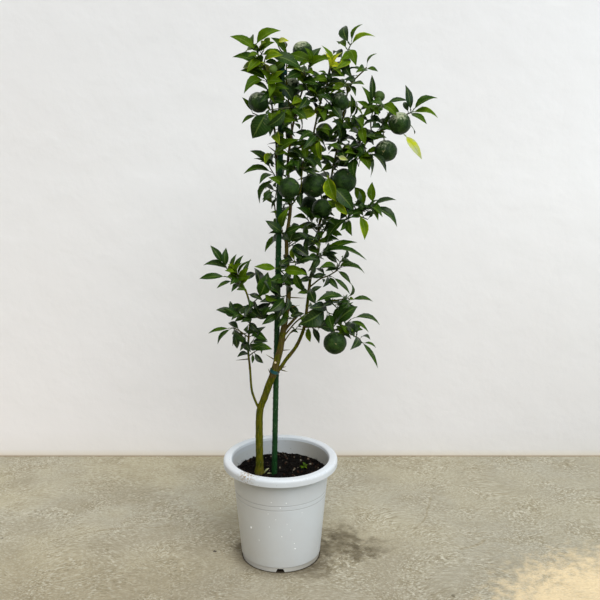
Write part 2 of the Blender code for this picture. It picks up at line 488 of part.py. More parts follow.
# ---- wood ---------------------------------------------------------------------------------
def build_trunk():
    """Root crown, main stem, limbs and thorns, grown together as one body."""
    route = [ROOT_PLACE + Vector((0, 0, SOIL_LEVEL - ROOT_DEPTH))]
    route += [metres(place) for _, place in STEM]
    radii = [ROOT_TAPER * STEM[0][0] * MM] + [radius * MM for radius, _ in STEM]
    trunk = tube_object("trunk", route, radii, STEM_SIDES, LOOKS["bark"])
    for name, (thick, thin, places) in LIMBS.items():
        route = [metres(place) for place in places]
        last = len(route) - 1
        radii = [(thick + (thin - thick) * i / last) * MM for i in range(last + 1)]
        cut(trunk, tube_object(f"limb_{name}", route, radii, LIMB_SIDES, LOOKS["bark"]), "UNION")
    for number, (foot, tip) in enumerate(THORNS):
        route = [metres(foot), metres(tip)]
        cut(trunk, tube_object(f"thorn_{number}", route, THORN_RADII, 4, LOOKS["bark"]), "UNION")
    return trunk


# ---- stake and ties -----------------------------------------------------------------------
def stake_place(height):
    """Middle of the stake at a height."""
    share = (height - SOIL_LEVEL) / (STAKE_TOP.z - SOIL_LEVEL)
    return STAKE_AT_SOIL.lerp(STAKE_TOP, share)


def build_stake():
    """The coated tube with its cap above and its driving point in the soil."""
    axis = (STAKE_TOP - STAKE_AT_SOIL).normalized()
    length = (STAKE_TOP - STAKE_AT_SOIL).length
    foot = STAKE_AT_SOIL - axis * STAKE_DEPTH
    whole = length + STAKE_DEPTH
    bore = STAKE_RADIUS - STAKE_WALL
    sleeve = STAKE_RADIUS + GAP
    skin = sleeve + POINT_WALL
    low = 0.012
    high = whole - 0.006
    pipe = [(bore, low), (STAKE_RADIUS, low), (STAKE_RADIUS, high), (bore, high)]
    cap = [(0, whole), (0.5 * skin, whole - 0.0005), (0.85 * skin, whole - 0.0025),
           (skin, whole - 0.006), (skin, whole - CAP_LENGTH), (sleeve, whole - CAP_LENGTH),
           (sleeve, high + GAP), (0, high + GAP)]
    point = [(0, low - GAP), (sleeve, low - GAP), (sleeve, POINT_LENGTH), (skin, POINT_LENGTH),
             (skin, low), (0.35 * skin, 0.001), (0, 0)]
    return [
        turned("stake_tube", pipe, STAKE_SIDES, LOOKS["stake"], foot, axis),
        turned("stake_cap", cap, STAKE_SIDES, LOOKS["stake_ends"], foot, axis),
        turned("stake_point", point, STAKE_SIDES, LOOKS["stake_ends"], foot, axis),
    ]


def wood_at(route, height):
    """Middle and radius of a piece of wood, at a height, from its (radius, place) stations."""
    for (r1, a), (r2, b) in zip(route, route[1:]):
        if a[2] <= height / CM <= b[2]:
            share = (height / CM - a[2]) / (b[2] - a[2])
            return metres(a).lerp(metres(b), share), (r1 + (r2 - r1) * share) * MM
    raise ValueError("the wood does not reach this height")


def build_tie(name, height, wood):
    """A band round the stake and the wood beside it, snug on both."""
    snug = 1 / math.cos(math.pi / STAKE_SIDES)
    spots = []
    for level in (height - TIE_WIDTH / 2, height + TIE_WIDTH / 2):
        middle, radius = wood_at(wood, level)
        stake = stake_place(level)
        for centre, size in ((middle, radius), (stake, STAKE_RADIUS)):
            circle = section(centre, Vector((0, 0, 1)), (size + GAP) * snug, STAKE_SIDES)
            spots += [place.to_2d() for place in circle]
    bm = bmesh.new()
    low = height - TIE_WIDTH / 2
    outline = [bm.verts.new((*spots[i], low)) for i in geometry.convex_hull_2d(spots)]
    bmesh.ops.remove_doubles(bm, verts=outline, dist=0.0004)
    bm.verts.ensure_lookup_table()
    loop = list(bm.verts)
    edges = [bm.edges.new(pair) for pair in zip(loop, loop[1:] + loop[:1])]
    raised = bmesh.ops.extrude_edge_only(bm, edges=edges)["geom"]
    bmesh.ops.translate(bm, verts=[v for v in raised if isinstance(v, bmesh.types.BMVert)],
                        vec=(0, 0, TIE_WIDTH))
    bmesh.ops.recalc_face_normals(bm, faces=bm.faces)
    bmesh.ops.solidify(bm, geom=bm.faces[:], thickness=-TIE_THICKNESS)
    bmesh.ops.recalc_face_normals(bm, faces=bm.faces)
    return finish_object(name, bm, LOOKS["tie"])


# ---- fruits -------------------------------------------------------------------------------
def seat_on(tree, near):
    """The point just off a surface nearest to a place, and the way out of the surface there."""
    place, normal, _, _ = tree.find_nearest(near)
    return place + normal * GAP, normal


def build_fruit(name, middle, diameter, hang_place, wood):
    """One yuzu: an oblate fruit with its neck, calyx and stalk, seated on the wood."""
    middle = metres(middle)
    radius = diameter * MM / 2
    seat, away = seat_on(wood, metres(hang_place).lerp(middle, 0.12))
    axis = (seat - middle).normalized()
    half_height = FRUIT_FLATNESS * radius
    route = []
    sizes = []
    for step in range(1, 6):
        turn = math.pi * (step - 0.3) / 5.4
        route.append(middle - axis * (half_height * math.cos(turn)))
        sizes.append(radius * math.sin(turn))
    top = middle + axis * (0.97 * half_height)
    route += [top, top + axis * 0.0015, seat + away * 0.003, seat]
    sizes += [CALYX_RADIUS, STALK_RADIUS, STALK_RADIUS, STALK_RADIUS]
    axes = [axis] * (len(route) - 2) + [(-away + axis * 0.3).normalized(), -away]
    bm = bmesh.new()
    hint = Vector((0, 0, 1)) if abs(axis.z) < 0.7 else Vector((1, 0, 0))
    pull_tube(bm, route, sizes, FRUIT_SIDES, axes, hint)
    return finish_object(name, bm, LOOKS["fruit"])


# ---- leafy shoots -------------------------------------------------------------------------
def leaf_shape(base, outward, tip, turn, grow=0.0):
    """Ring corners along a leaf: its stalk, then a blade folded along the midrib."""
    length = (tip - base).length
    along = (tip - base).normalized()
    spread = Vector((base.x - 0.02, base.y, 0))
    sky = Vector((0, 0, 1)) + (spread.normalized() * 0.35 if spread.length > 0.01 else spread)
    up = (sky - sky.dot(along) * along).normalized()
    front = along.cross(up)
    if front.y > 0:
        front = -front
    turn = math.radians(turn)
    up = math.cos(turn) * up + math.sin(turn) * front
    side = up.cross(along)
    width = LEAF_WIDTH * length
    stalk = (0.16, STALK_HALF, STALK_HALF, 0.0)
    belly = (0.42, 0.50 * width, LEAF_THICKNESS / 2, LEAF_FOLD)
    shoulder = (0.72, 0.40 * width, LEAF_THICKNESS / 2, LEAF_FOLD)
    rings = []
    for share, half, thick, fold in (stalk, belly, shoulder):
        rise = 4 * LEAF_ARCH * length * share * (1 - share)
        middle = base + along * (length * share) + up * rise
        if not fold:
            middle += outward * 0.002
        lift = fold * half
        rings.append([middle + side * (half + grow) + up * lift, middle + up * (thick + grow),
                      middle - side * (half + grow) + up * lift, middle - up * (thick + grow)])
    return rings


def leaf_tree(rings, tip):
    """The surface of a leaf by itself, to see what it would touch."""
    points = [corner for ring in rings for corner in ring] + [tip]
    faces = []
    for step in range(len(rings) - 1):
        for k in range(4):
            a, b = 4 * step + k, 4 * step + (k + 1) % 4
            faces.append((a, b, b + 4, a + 4))
    last = 4 * (len(rings) - 1)
    faces += [(last + k, last + (k + 1) % 4, len(points) - 1) for k in range(4)]
    return BVHTree.FromPolygons(points, faces)


def grow_leaf(bm, face, rings, tip):
    """Pull a leaf out of one face of its twig."""
    corners = [vertex.co.copy() for vertex in face.verts]
    middle = sum(corners, Vector()) / 4
    centre = sum(rings[0], Vector()) / 4
    best = min(range(4), key=lambda s: sum(
        ((rings[0][(k + s) % 4] - centre).normalized() - (corners[k] - middle).normalized()).length
        for k in range(4)))
    for ring in rings:
        face = extrude_to(bm, face, [ring[(k + best) % 4] for k in range(4)])
    bmesh.ops.poke(bm, faces=[face])["verts"][0].co = tip


def clear_leaf(face, tip, turn, obstacles, own):
    """The leaf, or the same leaf swung a little round its base, that touches nothing."""
    base = face.calc_center_median()
    outward = face.normal.copy()
    foot = [vertex.co.copy() for vertex in face.verts]
    for swing in (0, 12, -12, 24, -24, 38, -38):
        swung = base + Matrix.Rotation(math.radians(swing), 3, "Z") @ (tip - base)
        for extra in (0, 25, -25):
            rings = leaf_shape(base, outward, swung, turn + extra, grow=LEAF_CLEARANCE)
            tree = leaf_tree(rings, swung)
            rooted = leaf_tree([foot] + rings, swung)
            free = not any(rooted.overlap(other) for other in obstacles)
            if free and not any(tree.overlap(other) for other in own):
                return leaf_shape(base, outward, swung, turn + extra), swung, tree
    return None


def build_shoot(name, places, leaves, carrier, obstacles, look, radius=TWIG_RADIUS):
    """A twig seated on its carrier, with its leaves, as one body."""
    route = [metres(place) for place in places]
    toward = (route[1] - route[0]).normalized()
    seat, away = seat_on(carrier, route[0] + toward * 0.006)
    start = seat + away * 0.004
    route = [start] + route[1:]
    lengths = [(b - a).length for a, b in zip(route, route[1:])]
    whole = sum(lengths)

    def twig_point(share):
        walk = share * whole
        for (a, b), length in zip(zip(route, route[1:]), lengths):
            if walk <= length:
                return a.lerp(b, walk / length)
            walk -= length
        return route[-1]

    count = len(leaves)
    spacing = whole / count
    node = min(NODE_HALF, 0.35 * spacing)
    stations = [seat, start]
    owners = [None]
    for number in range(count - 1):
        share = (number + 0.7) / count
        step = node / whole
        stations += [twig_point(share - step), twig_point(share + step)]
        owners += [None, number]
    stations.append(twig_point(1.0))
    owners.append(None)
    axes = axes_along(stations)
    axes[0] = away
    radii = [radius * (1 - TWIG_TAPER * i / len(stations)) for i in range(len(stations))]
    lean = (stations[-1] - stations[0]).normalized()
    hint = Vector((1, 0, 0)) if abs(lean.x) < 0.75 and abs(away.x) < 0.75 else Vector((0, 0, 1))
    if hint.z and (abs(lean.z) > 0.75 or abs(away.z) > 0.75):
        hint = Vector((0, 1, 0))
    bm = bmesh.new()
    base = [bm.verts.new(place) for place in section(stations[0], axes[0], radii[0], 4, hint)]
    face = bm.faces.new(base)
    seats = {}
    for middle, axis, size, owner in zip(stations[1:], axes[1:], radii[1:], owners):
        before = set(bm.faces)
        face = extrude_to(bm, face, section(middle, axis, size, 4, hint))
        if owner is not None:
            tip = metres(leaves[owner])
            sides = [side for side in bm.faces if side not in before and side is not face]
            bm.normal_update()
            towards = (tip - middle).normalized()
            seats[owner] = max(sides, key=lambda side: side.normal.dot(towards))
    bm.faces.new(reversed(base))
    seats[count - 1] = face
    bm.normal_update()
    own = [BVHTree.FromBMesh(bm)]
    for number, leaf in enumerate(leaves):
        found = clear_leaf(seats[number], metres(leaf), leaf[3], obstacles, own)
        if found:
            rings, tip, tree = found
            grow_leaf(bm, seats[number], rings, tip)
            own.append(tree)
    return finish_object(name, bm, look, 50)


def leaves_round(places, count, length):
    """Leaf tips set round the end of a twig at the golden angle, each a little higher."""
    foot = Vector(places[0])
    end = Vector(places[-1])
    tips = []
    for number in range(count):
        turn = math.radians(137.5 * number + 90)
        rise = math.radians(-10 + 70 * number / count)
        node = foot.lerp(end, (number + 0.7) / count)
        level = math.cos(rise)
        reach = Vector((math.cos(turn) * level, math.sin(turn) * level, math.sin(rise)))
        tips.append((*(node + length * reach), 15))
    return tips


# ---- the whole plant ----------------------------------------------------------------------
clear_scene()
LOOKS = {
    "pot": material("pot_plastic", (0.66, 0.67, 0.68), 0.42),
    "soil": material("potting_soil", (0.045, 0.028, 0.018), 0.95),
    "bark": material("bark", (0.16, 0.15, 0.08), 0.8),
    "stake": material("stake_coating", (0.05, 0.12, 0.06), 0.4),
    "stake_ends": material("stake_end_plastic", (0.03, 0.10, 0.07), 0.45),
    "tie": material("tie_band", (0.02, 0.32, 0.33), 0.5),
    "fruit": material("yuzu_skin", (0.06, 0.13, 0.04), 0.45),
    "leaf": material("yuzu_leaf", (0.06, 0.15, 0.02), 0.35),
    "weed": material("seedling", (0.10, 0.30, 0.05), 0.5),
}

pot_object = build_pot()
soil_object = build_soil()
trunk_object = build_trunk()
soil_tree = surface_tree(soil_object)
wood_tree = surface_tree(trunk_object)
solid = [surface_tree(pot_object), soil_tree, wood_tree]
solid += [surface_tree(item) for item in build_stake()]
solid.append(surface_tree(build_tie("tie_lower", TIE_LOWER, STEM)))
leader = LIMBS["tied_leader"]
leader_route = [(leader[1], place) for place in leader[2]]
solid.append(surface_tree(build_tie("tie_upper", TIE_UPPER, leader_route)))

for fruit_name, (centre, size, hang) in FRUITS.items():
    fruit = build_fruit(fruit_name, centre, size, hang, wood_tree)
    solid.append(surface_tree(fruit))

for shoot_name, (twig, tips) in SHOOTS.items():
    shoot = build_shoot(shoot_name, twig, tips, wood_tree, solid, LOOKS["leaf"])
    solid.append(surface_tree(shoot))
for shoot_name, (twig, amount, long) in BACK_SHOOTS.items():
    tips = leaves_round(twig, amount, long)
    shoot = build_shoot(shoot_name, twig, tips, wood_tree, solid, LOOKS["leaf"])
    solid.append(surface_tree(shoot))

weed_stem, weed_leaves = WEED
build_shoot("weed_sprout", weed_stem, weed_leaves, soil_tree, solid, LOOKS["weed"], WEED_RADIUS)
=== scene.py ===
"""Potted yuzu tree: a young grafted citrus tied to a green garden stake, in a light grey
nursery pot. Metres, +Z up; the origin is the middle of the pot's foot and the front is -Y.
Places on the plant are written in centimetres: across, depth (minus is the front), height.
"""

import math
import random

import bmesh
import bpy
from mathutils import Matrix, Vector, geometry, noise
from mathutils.bvhtree import BVHTree


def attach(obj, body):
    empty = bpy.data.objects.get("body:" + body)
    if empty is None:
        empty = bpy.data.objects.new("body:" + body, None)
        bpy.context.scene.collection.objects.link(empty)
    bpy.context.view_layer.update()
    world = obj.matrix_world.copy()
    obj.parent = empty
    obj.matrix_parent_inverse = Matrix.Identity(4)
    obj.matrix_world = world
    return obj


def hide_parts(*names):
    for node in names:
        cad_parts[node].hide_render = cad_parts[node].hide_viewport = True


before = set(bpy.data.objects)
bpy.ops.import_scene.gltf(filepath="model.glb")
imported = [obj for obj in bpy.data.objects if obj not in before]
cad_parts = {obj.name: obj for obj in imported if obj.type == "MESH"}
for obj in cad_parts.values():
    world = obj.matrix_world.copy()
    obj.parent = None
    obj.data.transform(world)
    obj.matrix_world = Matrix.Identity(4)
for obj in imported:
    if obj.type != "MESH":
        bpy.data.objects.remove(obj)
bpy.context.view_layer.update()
scene = bpy.context.scene
scene.view_settings.view_transform = "Standard"


# ---- yard: the concrete floor and the plastered wall behind --------------------------------
# A pale smooth-trowelled concrete floor meets an off-white plastered wall 69 cm behind the
# pot's middle. Both are only the setting, and both are mottled by damp and by the trowel.
# Both also carry painted shade, and the floor a painted shadow and a painted patch of sunlight.
FLOOR_HALF = 6.0
WALL_BEHIND = 0.69
WALL_TALL = 4.0
CONCRETE_PALE = (0.405, 0.368, 0.262)
CONCRETE_GREY = (0.382, 0.360, 0.285)
CONCRETE_DARK = (0.240, 0.203, 0.124)
CONCRETE_WORN = (0.54, 0.51, 0.41)
CONCRETE_GRIT = (0.14, 0.112, 0.066)
CONCRETE_SUNLIT = (0.71, 0.565, 0.35)
SUNLIT_SPOT = (0.97, -0.40, 0.0)
STROKE_DRIFT = 0.20
SCRATCH_HALF_WIDTH = 0.0035
# How the floor darkens to the front and to the right: axis, start, end, share, colour.
FLOOR_FADES = (("Y", 0.25, -0.40, 0.55, (0.285, 0.230, 0.148)),
               ("X", 0.05, 0.65, 0.50, (0.325, 0.302, 0.238)))
# Float marks, coarse to fine: scale, the two levels, share, colour.
FLOAT_MARKS = (
    (11.0, 0.46, 0.68, 0.42, CONCRETE_DARK), (34.0, 0.50, 0.66, 0.32, CONCRETE_WORN),
    (60.0, 0.50, 0.62, 0.50, CONCRETE_DARK), (95.0, 0.51, 0.62, 0.70, CONCRETE_WORN),
    (140.0, 0.54, 0.62, 0.50, CONCRETE_GRIT))
# Old scratches: across, depth, turn in radians and half length.
SCRATCHES = ((-0.512, 0.132, 0.32, 0.18), (0.455, 0.258, 1.25, 0.13), (0.575, 0.042, 1.03, 0.055))
# Damp stains and the pot's painted shadow on the floor: across, depth, reach, and how dark.
STAINS_AND_SHADOWS = ((0.165, 0.119, 0.080, 0.45), (0.194, 0.075, 0.070, 0.42), (0.185, 0.030, 0.115, 0.42),
          (0.235, -0.003, 0.055, 0.55), (0.141, 0.027, 0.060, 0.45), (0.105, -0.085, 0.075, 0.55),
          (-0.122, 0.035, 0.036, 0.50), (0.28, 0.03, 0.060, 0.40), (0.35, -0.35, 0.07, 0.35),
          (-0.27, -0.14, 0.20, 0.16), (-0.55, -0.25, 0.22, 0.10))
STAIN_AND_SHADOW_TINT = (0.27, 0.23, 0.165)
# Painted contact shadow round the pot's foot, darkest right under it: outer and inner radius,
# share, colour.
FOOT_SHADOW_RINGS = ((0.165, 0.112, 0.55, (0.22, 0.18, 0.13)),
              (0.1185, 0.1135, 0.88, (0.10, 0.07, 0.045)))
PLASTER = (0.90, 0.905, 0.925)
# Painted shade darkens the wall low down and most in its lower right corner, and painted light
# brightens it to the right. The shade colour also mottles it as damp.
PLASTER_SHADE_AND_DAMP = (0.85, 0.82, 0.82)
PLASTER_LIT_RIGHT = (0.95, 0.94, 0.95)
PLASTER_CORNER_SHADE = (0.56, 0.54, 0.53)
# Bands at the foot of the wall, warmer and darker, darkest in the line where it meets the floor:
# top, foot, share, colour.
WALL_FOOT_BANDS = ((0.10, 0.0, 0.25, (0.70, 0.665, 0.58)), (0.028, 0.006, 0.55, (0.70, 0.62, 0.48)),
            (0.007, 0.001, 0.80, (0.30, 0.20, 0.11)))


def put(tree, value, socket):
    """Give a socket a constant, or link it to the output that makes its value."""
    if isinstance(value, bpy.types.NodeSocket):
        tree.links.new(value, socket)
    else:
        socket.default_value = value


def add_node(tree, kind, inputs=None, **settings):
    made = tree.nodes.new(kind)
    for name, value in settings.items():
        setattr(made, name, value)
    for name, value in (inputs or {}).items():
        put(tree, value, made.inputs[name])
    return made


def math_node(tree, operation, *values):
    made = tree.nodes.new("ShaderNodeMath")
    made.operation = operation
    for value, socket in zip(values, made.inputs):
        put(tree, value, socket)
    return made.outputs[0]


def times(tree, first, second):
    return math_node(tree, "MULTIPLY", first, second)


def stray(tree, value, mask, amount):
    """A value that an uneven mask pushes up and down."""
    return math_node(tree, "ADD", value, times(tree, math_node(
        tree, "SUBTRACT", mask, 0.5), amount))


def fade(tree, value, start, end, low=0.0, high=1.0, smooth=False):
    """A share that goes from low to high while a value goes from start to end."""
    made = add_node(tree, "ShaderNodeMapRange", {
        "Value": value, "From Min": start, "From Max": end, "To Min": low, "To Max": high})
    if smooth:
        made.interpolation_type = "SMOOTHSTEP"
    return made.outputs[0]


def distance(tree, place, point):
    return add_node(tree, "ShaderNodeVectorMath", {0: place, 1: point},
                    operation="DISTANCE").outputs["Value"]


def axes_of(tree, place):
    return add_node(tree, "ShaderNodeSeparateXYZ", {"Vector": place}).outputs


def attribute(tree, name):
    return add_node(tree, "ShaderNodeAttribute", attribute_name=name).outputs["Fac"]


def mix_colour(tree, share, first, second, kind="MIX"):
    made = tree.nodes.new("ShaderNodeMix")
    made.data_type = "RGBA"
    made.blend_type = kind
    for value, index in ((share, 0), (first, 6), (second, 7)):
        if isinstance(value, tuple):
            value = (*value, 1.0)
        put(tree, value, made.inputs[index])
    return made.outputs[2]


def new_material(name, **sockets):
    """A Principled material; gives the material, its tree and its shader."""
    made = bpy.data.materials.new(name)
    made.use_nodes = True
    shader = made.node_tree.nodes["Principled BSDF"]
    for socket, value in sockets.items():
        shader.inputs[socket.replace("_", " ")].default_value = value
    return made, made.node_tree, shader


def object_place(tree):
    return add_node(tree, "ShaderNodeTexCoord").outputs["Object"]


def finish_look(tree, shader, tone, height, strength, depth):
    """Give the shader its colour and its fine relief."""
    put(tree, tone, shader.inputs["Base Color"])
    relief = add_node(tree, "ShaderNodeBump", {
        "Height": height, "Strength": strength, "Distance": depth})
    put(tree, relief.outputs[0], shader.inputs["Normal"])


def new_group(name, inputs, outputs):
    """An empty shader node group; inputs are (name, kind, value)."""
    group = bpy.data.node_groups.new(name, "ShaderNodeTree")
    for label, kind, value in inputs:
        socket = group.interface.new_socket(label, in_out="INPUT", socket_type=f"NodeSocket{kind}")
        if value is not None:
            socket.default_value = value
    for label in outputs:
        group.interface.new_socket(label, in_out="OUTPUT", socket_type="NodeSocketFloat")
    given = group.nodes.new("NodeGroupInput").outputs
    return group, given, group.nodes.new("NodeGroupOutput").inputs


def build_patches_group():
    """Soft uneven patches of one size: a mask that runs from 0 to 1 between two levels."""
    group, given, wanted = new_group(
        "patches", (("Place", "Vector", None), ("Scale", "Float", 10.0), ("Detail", "Float", 3.0),
                    ("Low", "Float", 0.4), ("High", "Float", 0.6)), ("Mask",))
    cloud = add_node(group, "ShaderNodeTexNoise", {
        "Vector": given["Place"], "Scale": given["Scale"], "Detail": given["Detail"]})
    put(group, fade(group, cloud.outputs[0], given["Low"], given["High"], smooth=True),
        wanted["Mask"])
    return group


def build_specks_group():
    """Small separate round specks, each with its own chance of being there."""
    group, given, wanted = new_group(
        "specks", (("Place", "Vector", None), ("Scale", "Float", 100.0), ("Size", "Float", 0.2),
                   ("Share", "Float", 0.3)), ("Mask",))
    cells = add_node(group, "ShaderNodeTexVoronoi", {
        "Vector": given["Place"], "Scale": given["Scale"]})
    near = math_node(group, "LESS_THAN", cells.outputs["Distance"], given["Size"])
    pick = add_node(group, "ShaderNodeSeparateColor", {"Color": cells.outputs["Color"]})
    kept = math_node(group, "LESS_THAN", pick.outputs[0], given["Share"])
    put(group, times(group, near, kept), wanted["Mask"])
    return group


PATCHES = build_patches_group()
SPECKS = build_specks_group()


def patches(tree, place, scale, low=0.4, high=0.6, detail=3.0):
    return add_node(tree, "ShaderNodeGroup", {
        "Place": place, "Scale": scale, "Detail": detail, "Low": low, "High": high},
        node_tree=PATCHES).outputs["Mask"]


def specks(tree, place, scale, size, share):
    return add_node(tree, "ShaderNodeGroup", {
        "Place": place, "Scale": scale, "Size": size, "Share": share},
        node_tree=SPECKS).outputs["Mask"]


def finish_piece(name, bm, *looks, smooth=True, corner=None):
    """Turn a bmesh into a piece at the origin, with its materials; corner is in degrees."""
    mesh = bpy.data.meshes.new(name)
    bm.to_mesh(mesh)
    bm.free()
    if smooth:
        mesh.shade_smooth()
    for look in looks:
        mesh.materials.append(look)
    if corner:
        mesh.set_sharp_from_angle(angle=math.radians(corner))
    piece = bpy.data.objects.new(name, mesh)
    scene.collection.objects.link(piece)
    return piece


def build_concrete():
    """Trowelled concrete: float marks and pale grit, damp stains and the pot's painted shadow by
    the pot, painted contact shadow round its foot, a painted patch of sunlight, and darker towards
    the front and the right.
    """
    look, tree, shader = new_material("concrete", Roughness=0.85, Specular_IOR_Level=0.2)
    place = object_place(tree)
    axes = axes_of(tree, place)
    tone = mix_colour(tree, patches(tree, place, 2.3), CONCRETE_PALE, CONCRETE_GREY)
    damp = times(tree, patches(tree, place, 4.6, 0.42, 0.66, 4.0), 0.42)
    tone = mix_colour(tree, damp, tone, CONCRETE_DARK)
    for axis, start, end, share, colour in FLOOR_FADES:
        tone = mix_colour(tree, fade(tree, axes[axis], start, end, high=share), tone, colour)
    uneven = patches(tree, place, 34.0, 0.3, 0.7, 6.0)
    # A painted patch of sunlight on the floor to the front right.
    away = math_node(tree, "MULTIPLY_ADD", uneven, 0.10, distance(tree, place, SUNLIT_SPOT))
    sunlit = fade(tree, away, 0.53, 0.33, smooth=True)
    tone = mix_colour(tree, sunlit, tone, CONCRETE_SUNLIT)
    drift = add_node(tree, "ShaderNodeTexNoise", {"Vector": place, "Scale": 3.5, "Detail": 1.0})
    bent = add_node(tree, "ShaderNodeVectorMath", {
        0: drift.outputs["Color"], 1: (STROKE_DRIFT, STROKE_DRIFT, 0.0), 2: place},
        operation="MULTIPLY_ADD").outputs[0]
    drawn = add_node(tree, "ShaderNodeMapping", {
        "Vector": bent, "Rotation": (0.0, 0.0, -0.25), "Scale": (1.0, 1.7, 1.0)}).outputs[0]
    tone = mix_colour(tree, specks(tree, place, 9.0, 0.055, 0.35), tone, (0.05, 0.04, 0.03))
    for across, depth, turn, half_length in SCRATCHES:
        start = (across + STROKE_DRIFT / 2, depth + STROKE_DRIFT / 2, 0.0)
        own = axes_of(tree, add_node(tree, "ShaderNodeMapping", {
            "Vector": bent, "Location": start, "Rotation": (0.0, 0.0, turn)},
            vector_type="TEXTURE").outputs[0])
        thin, short = (math_node(tree, "LESS_THAN", math_node(tree, "ABSOLUTE", own[axis]), half)
                       for axis, half in (("Y", SCRATCH_HALF_WIDTH), ("X", half_length)))
        scratch = times(tree, times(tree, thin, short), 0.65)
        tone = mix_colour(tree, scratch, tone, CONCRETE_DARK)
    grainy = math_node(tree, "MULTIPLY_ADD", patches(tree, place, 7.0, 0.40, 0.64), 0.70, 0.45)
    grainy = times(tree, grainy, math_node(tree, "MULTIPLY_ADD", sunlit, -0.65, 1.0))
    for scale, low, high, share, colour in FLOAT_MARKS:
        mark = times(tree, patches(tree, drawn, scale, low, high, 5.0), share)
        tone = mix_colour(tree, times(tree, mark, grainy), tone, colour)
    # Damp stains by the pot, partly the pot's painted shadow, darken the floor.
    for across, depth, reach, dark in STAINS_AND_SHADOWS:
        ragged = math_node(tree, "MULTIPLY_ADD", uneven, 0.55 * reach,
                           distance(tree, place, (across, depth, 0.0)))
        stain_and_shadow = fade(tree, ragged, 1.45 * reach, 0.45 * reach, high=dark, smooth=True)
        tone = mix_colour(tree, stain_and_shadow, tone, STAIN_AND_SHADOW_TINT, "MULTIPLY")
    # Painted contact shadow in rings round the pot's foot.
    middle = distance(tree, place, (0.0, 0.0, 0.0))
    for outer, inner, share, colour in FOOT_SHADOW_RINGS:
        ring = fade(tree, middle, outer, inner, high=share, smooth=True)
        tone = mix_colour(tree, ring, tone, colour, "MULTIPLY")
    rough = math_node(tree, "MULTIPLY_ADD", patches(tree, drawn, 45.0, 0.3, 0.7, 4.0), 1.6,
                      patches(tree, place, 130.0, 0.3, 0.7, 6.0))
    finish_look(tree, shader, tone, rough, 0.40, 0.002)
    return look


def build_plaster():
    """Plaster that shows only from the room side, so the plant can be seen from behind."""
    look, tree, shader = new_material("plaster", Roughness=0.9, Specular_IOR_Level=0.2)
    place = object_place(tree)
    axes = axes_of(tree, place)
    # Painted shade towards the floor, painted light to the right, and more painted shade in the
    # lower right corner.
    low = fade(tree, axes["Z"], 1.0, 0.0, high=0.85)
    right = fade(tree, axes["X"], -0.4, 0.9, high=0.7)
    tone = mix_colour(tree, low, PLASTER, PLASTER_SHADE_AND_DAMP)
    tone = mix_colour(tree, right, tone, PLASTER_LIT_RIGHT)
    tone = mix_colour(tree, times(tree, low, right), tone, PLASTER_CORNER_SHADE)
    cloud = times(tree, patches(tree, place, 1.2, 0.3, 0.75, 4.0), 0.25)
    tone = mix_colour(tree, cloud, tone, PLASTER_SHADE_AND_DAMP)
    for top, foot, share, colour in WALL_FOOT_BANDS:
        tone = mix_colour(tree, fade(tree, axes["Z"], top, foot, high=share), tone, colour)
    finish_look(tree, shader, tone, patches(tree, place, 9.0, 0.3, 0.7, 6.0), 0.25, 0.004)
    clear = add_node(tree, "ShaderNodeBsdfTransparent")
    behind = add_node(tree, "ShaderNodeNewGeometry").outputs["Backfacing"]
    both = add_node(tree, "ShaderNodeMixShader", {
        0: behind, 1: shader.outputs[0], 2: clear.outputs[0]})
    put(tree, both.outputs[0], tree.nodes["Material Output"].inputs["Surface"])
    return look


bm = bmesh.new()
bmesh.ops.create_grid(bm, x_segments=1, y_segments=1, size=FLOOR_HALF)
floor = finish_piece("yard_floor", bm, build_concrete(), smooth=False)

bm = bmesh.new()
upright = (Matrix.Translation((0, WALL_BEHIND, WALL_TALL / 2))
           @ Matrix.Rotation(math.pi / 2, 4, "X")
           @ Matrix.Diagonal((FLOOR_HALF, WALL_TALL / 2, 1, 1)))
bmesh.ops.create_grid(bm, x_segments=1, y_segments=1, size=1, matrix=upright)
wall = finish_piece("yard_wall", bm, build_plaster(), smooth=False)

# The daylight is even and comes mostly from above and from the front, cooler on the right.
world = bpy.data.worlds.new("open_shade")
world.use_nodes = True
scene.world = world
sky = world.node_tree.nodes["Background"]
sky.inputs["Color"].default_value = (0.95, 0.98, 1.0, 1.0)
sky.inputs["Strength"].default_value = 0.31


def add_lamp(kind, name, place, aim, strength, colour):
    lamp = bpy.data.lights.new(name, kind)
    lamp.energy = strength
    lamp.color = colour
    holder = bpy.data.objects.new(name, lamp)
    holder.location = place
    holder.rotation_euler = (Vector(aim) - Vector(place)).to_track_quat("-Z", "Y").to_euler()
    scene.collection.objects.link(holder)
    return lamp


open_sky = add_lamp("SUN", "open_sky", (0.8, -1.9, 2.8), (0, 0, 0), 3.0, (1.0, 0.99, 0.97))
open_sky.angle = math.radians(52)
bright_side = add_lamp("AREA", "bright_side", (3.0, -1.7, 1.8), (0, 0, 0.5), 23.0,
                       (0.55, 0.80, 1.0))
bright_side.shape = "RECTANGLE"
bright_side.size, bright_side.size_y = 1.6, 2.2

eye = bpy.data.cameras.new("eye")
eye.lens = 60
eye.sensor_width = 36
camera = bpy.data.objects.new("eye", eye)
camera.location = (0.0565, -2.675, 1.5116)
camera.rotation_euler = (math.radians(74.7), 0, 0)
scene.collection.objects.link(camera)
scene.camera = camera


# ---- pot: injection-moulded polypropylene, 33 cm across a rolled rim ------------------------
# One moulding: a tapered wall with two fine rings, a rolled rim turned down over it, a foot
# band with a ledge, four notches through the foot ring, and eight drain holes in the floor.
POT_TALL = 0.311
RIM_RADIUS = 0.165
RIM_DROP = 0.022
RIM_ROLL = 0.009
MOUTH_RADIUS = 0.1403
MOUTH_ROLL = 0.005
NECK_RADIUS = 0.1396
BASE_RADIUS = 0.1162
LEDGE = 0.016
LEDGE_ROLL = 0.0026
FOOT_RADIUS = 0.1130
FOOT_INNER = 0.105
POT_WALL = 0.0025
FLOOR_UNDER = 0.015
FLOOR_TOP = 0.018
PAD_RADIUS = 0.030
RINGS = (0.203, 0.217)
RING_DEPTH = 0.0007
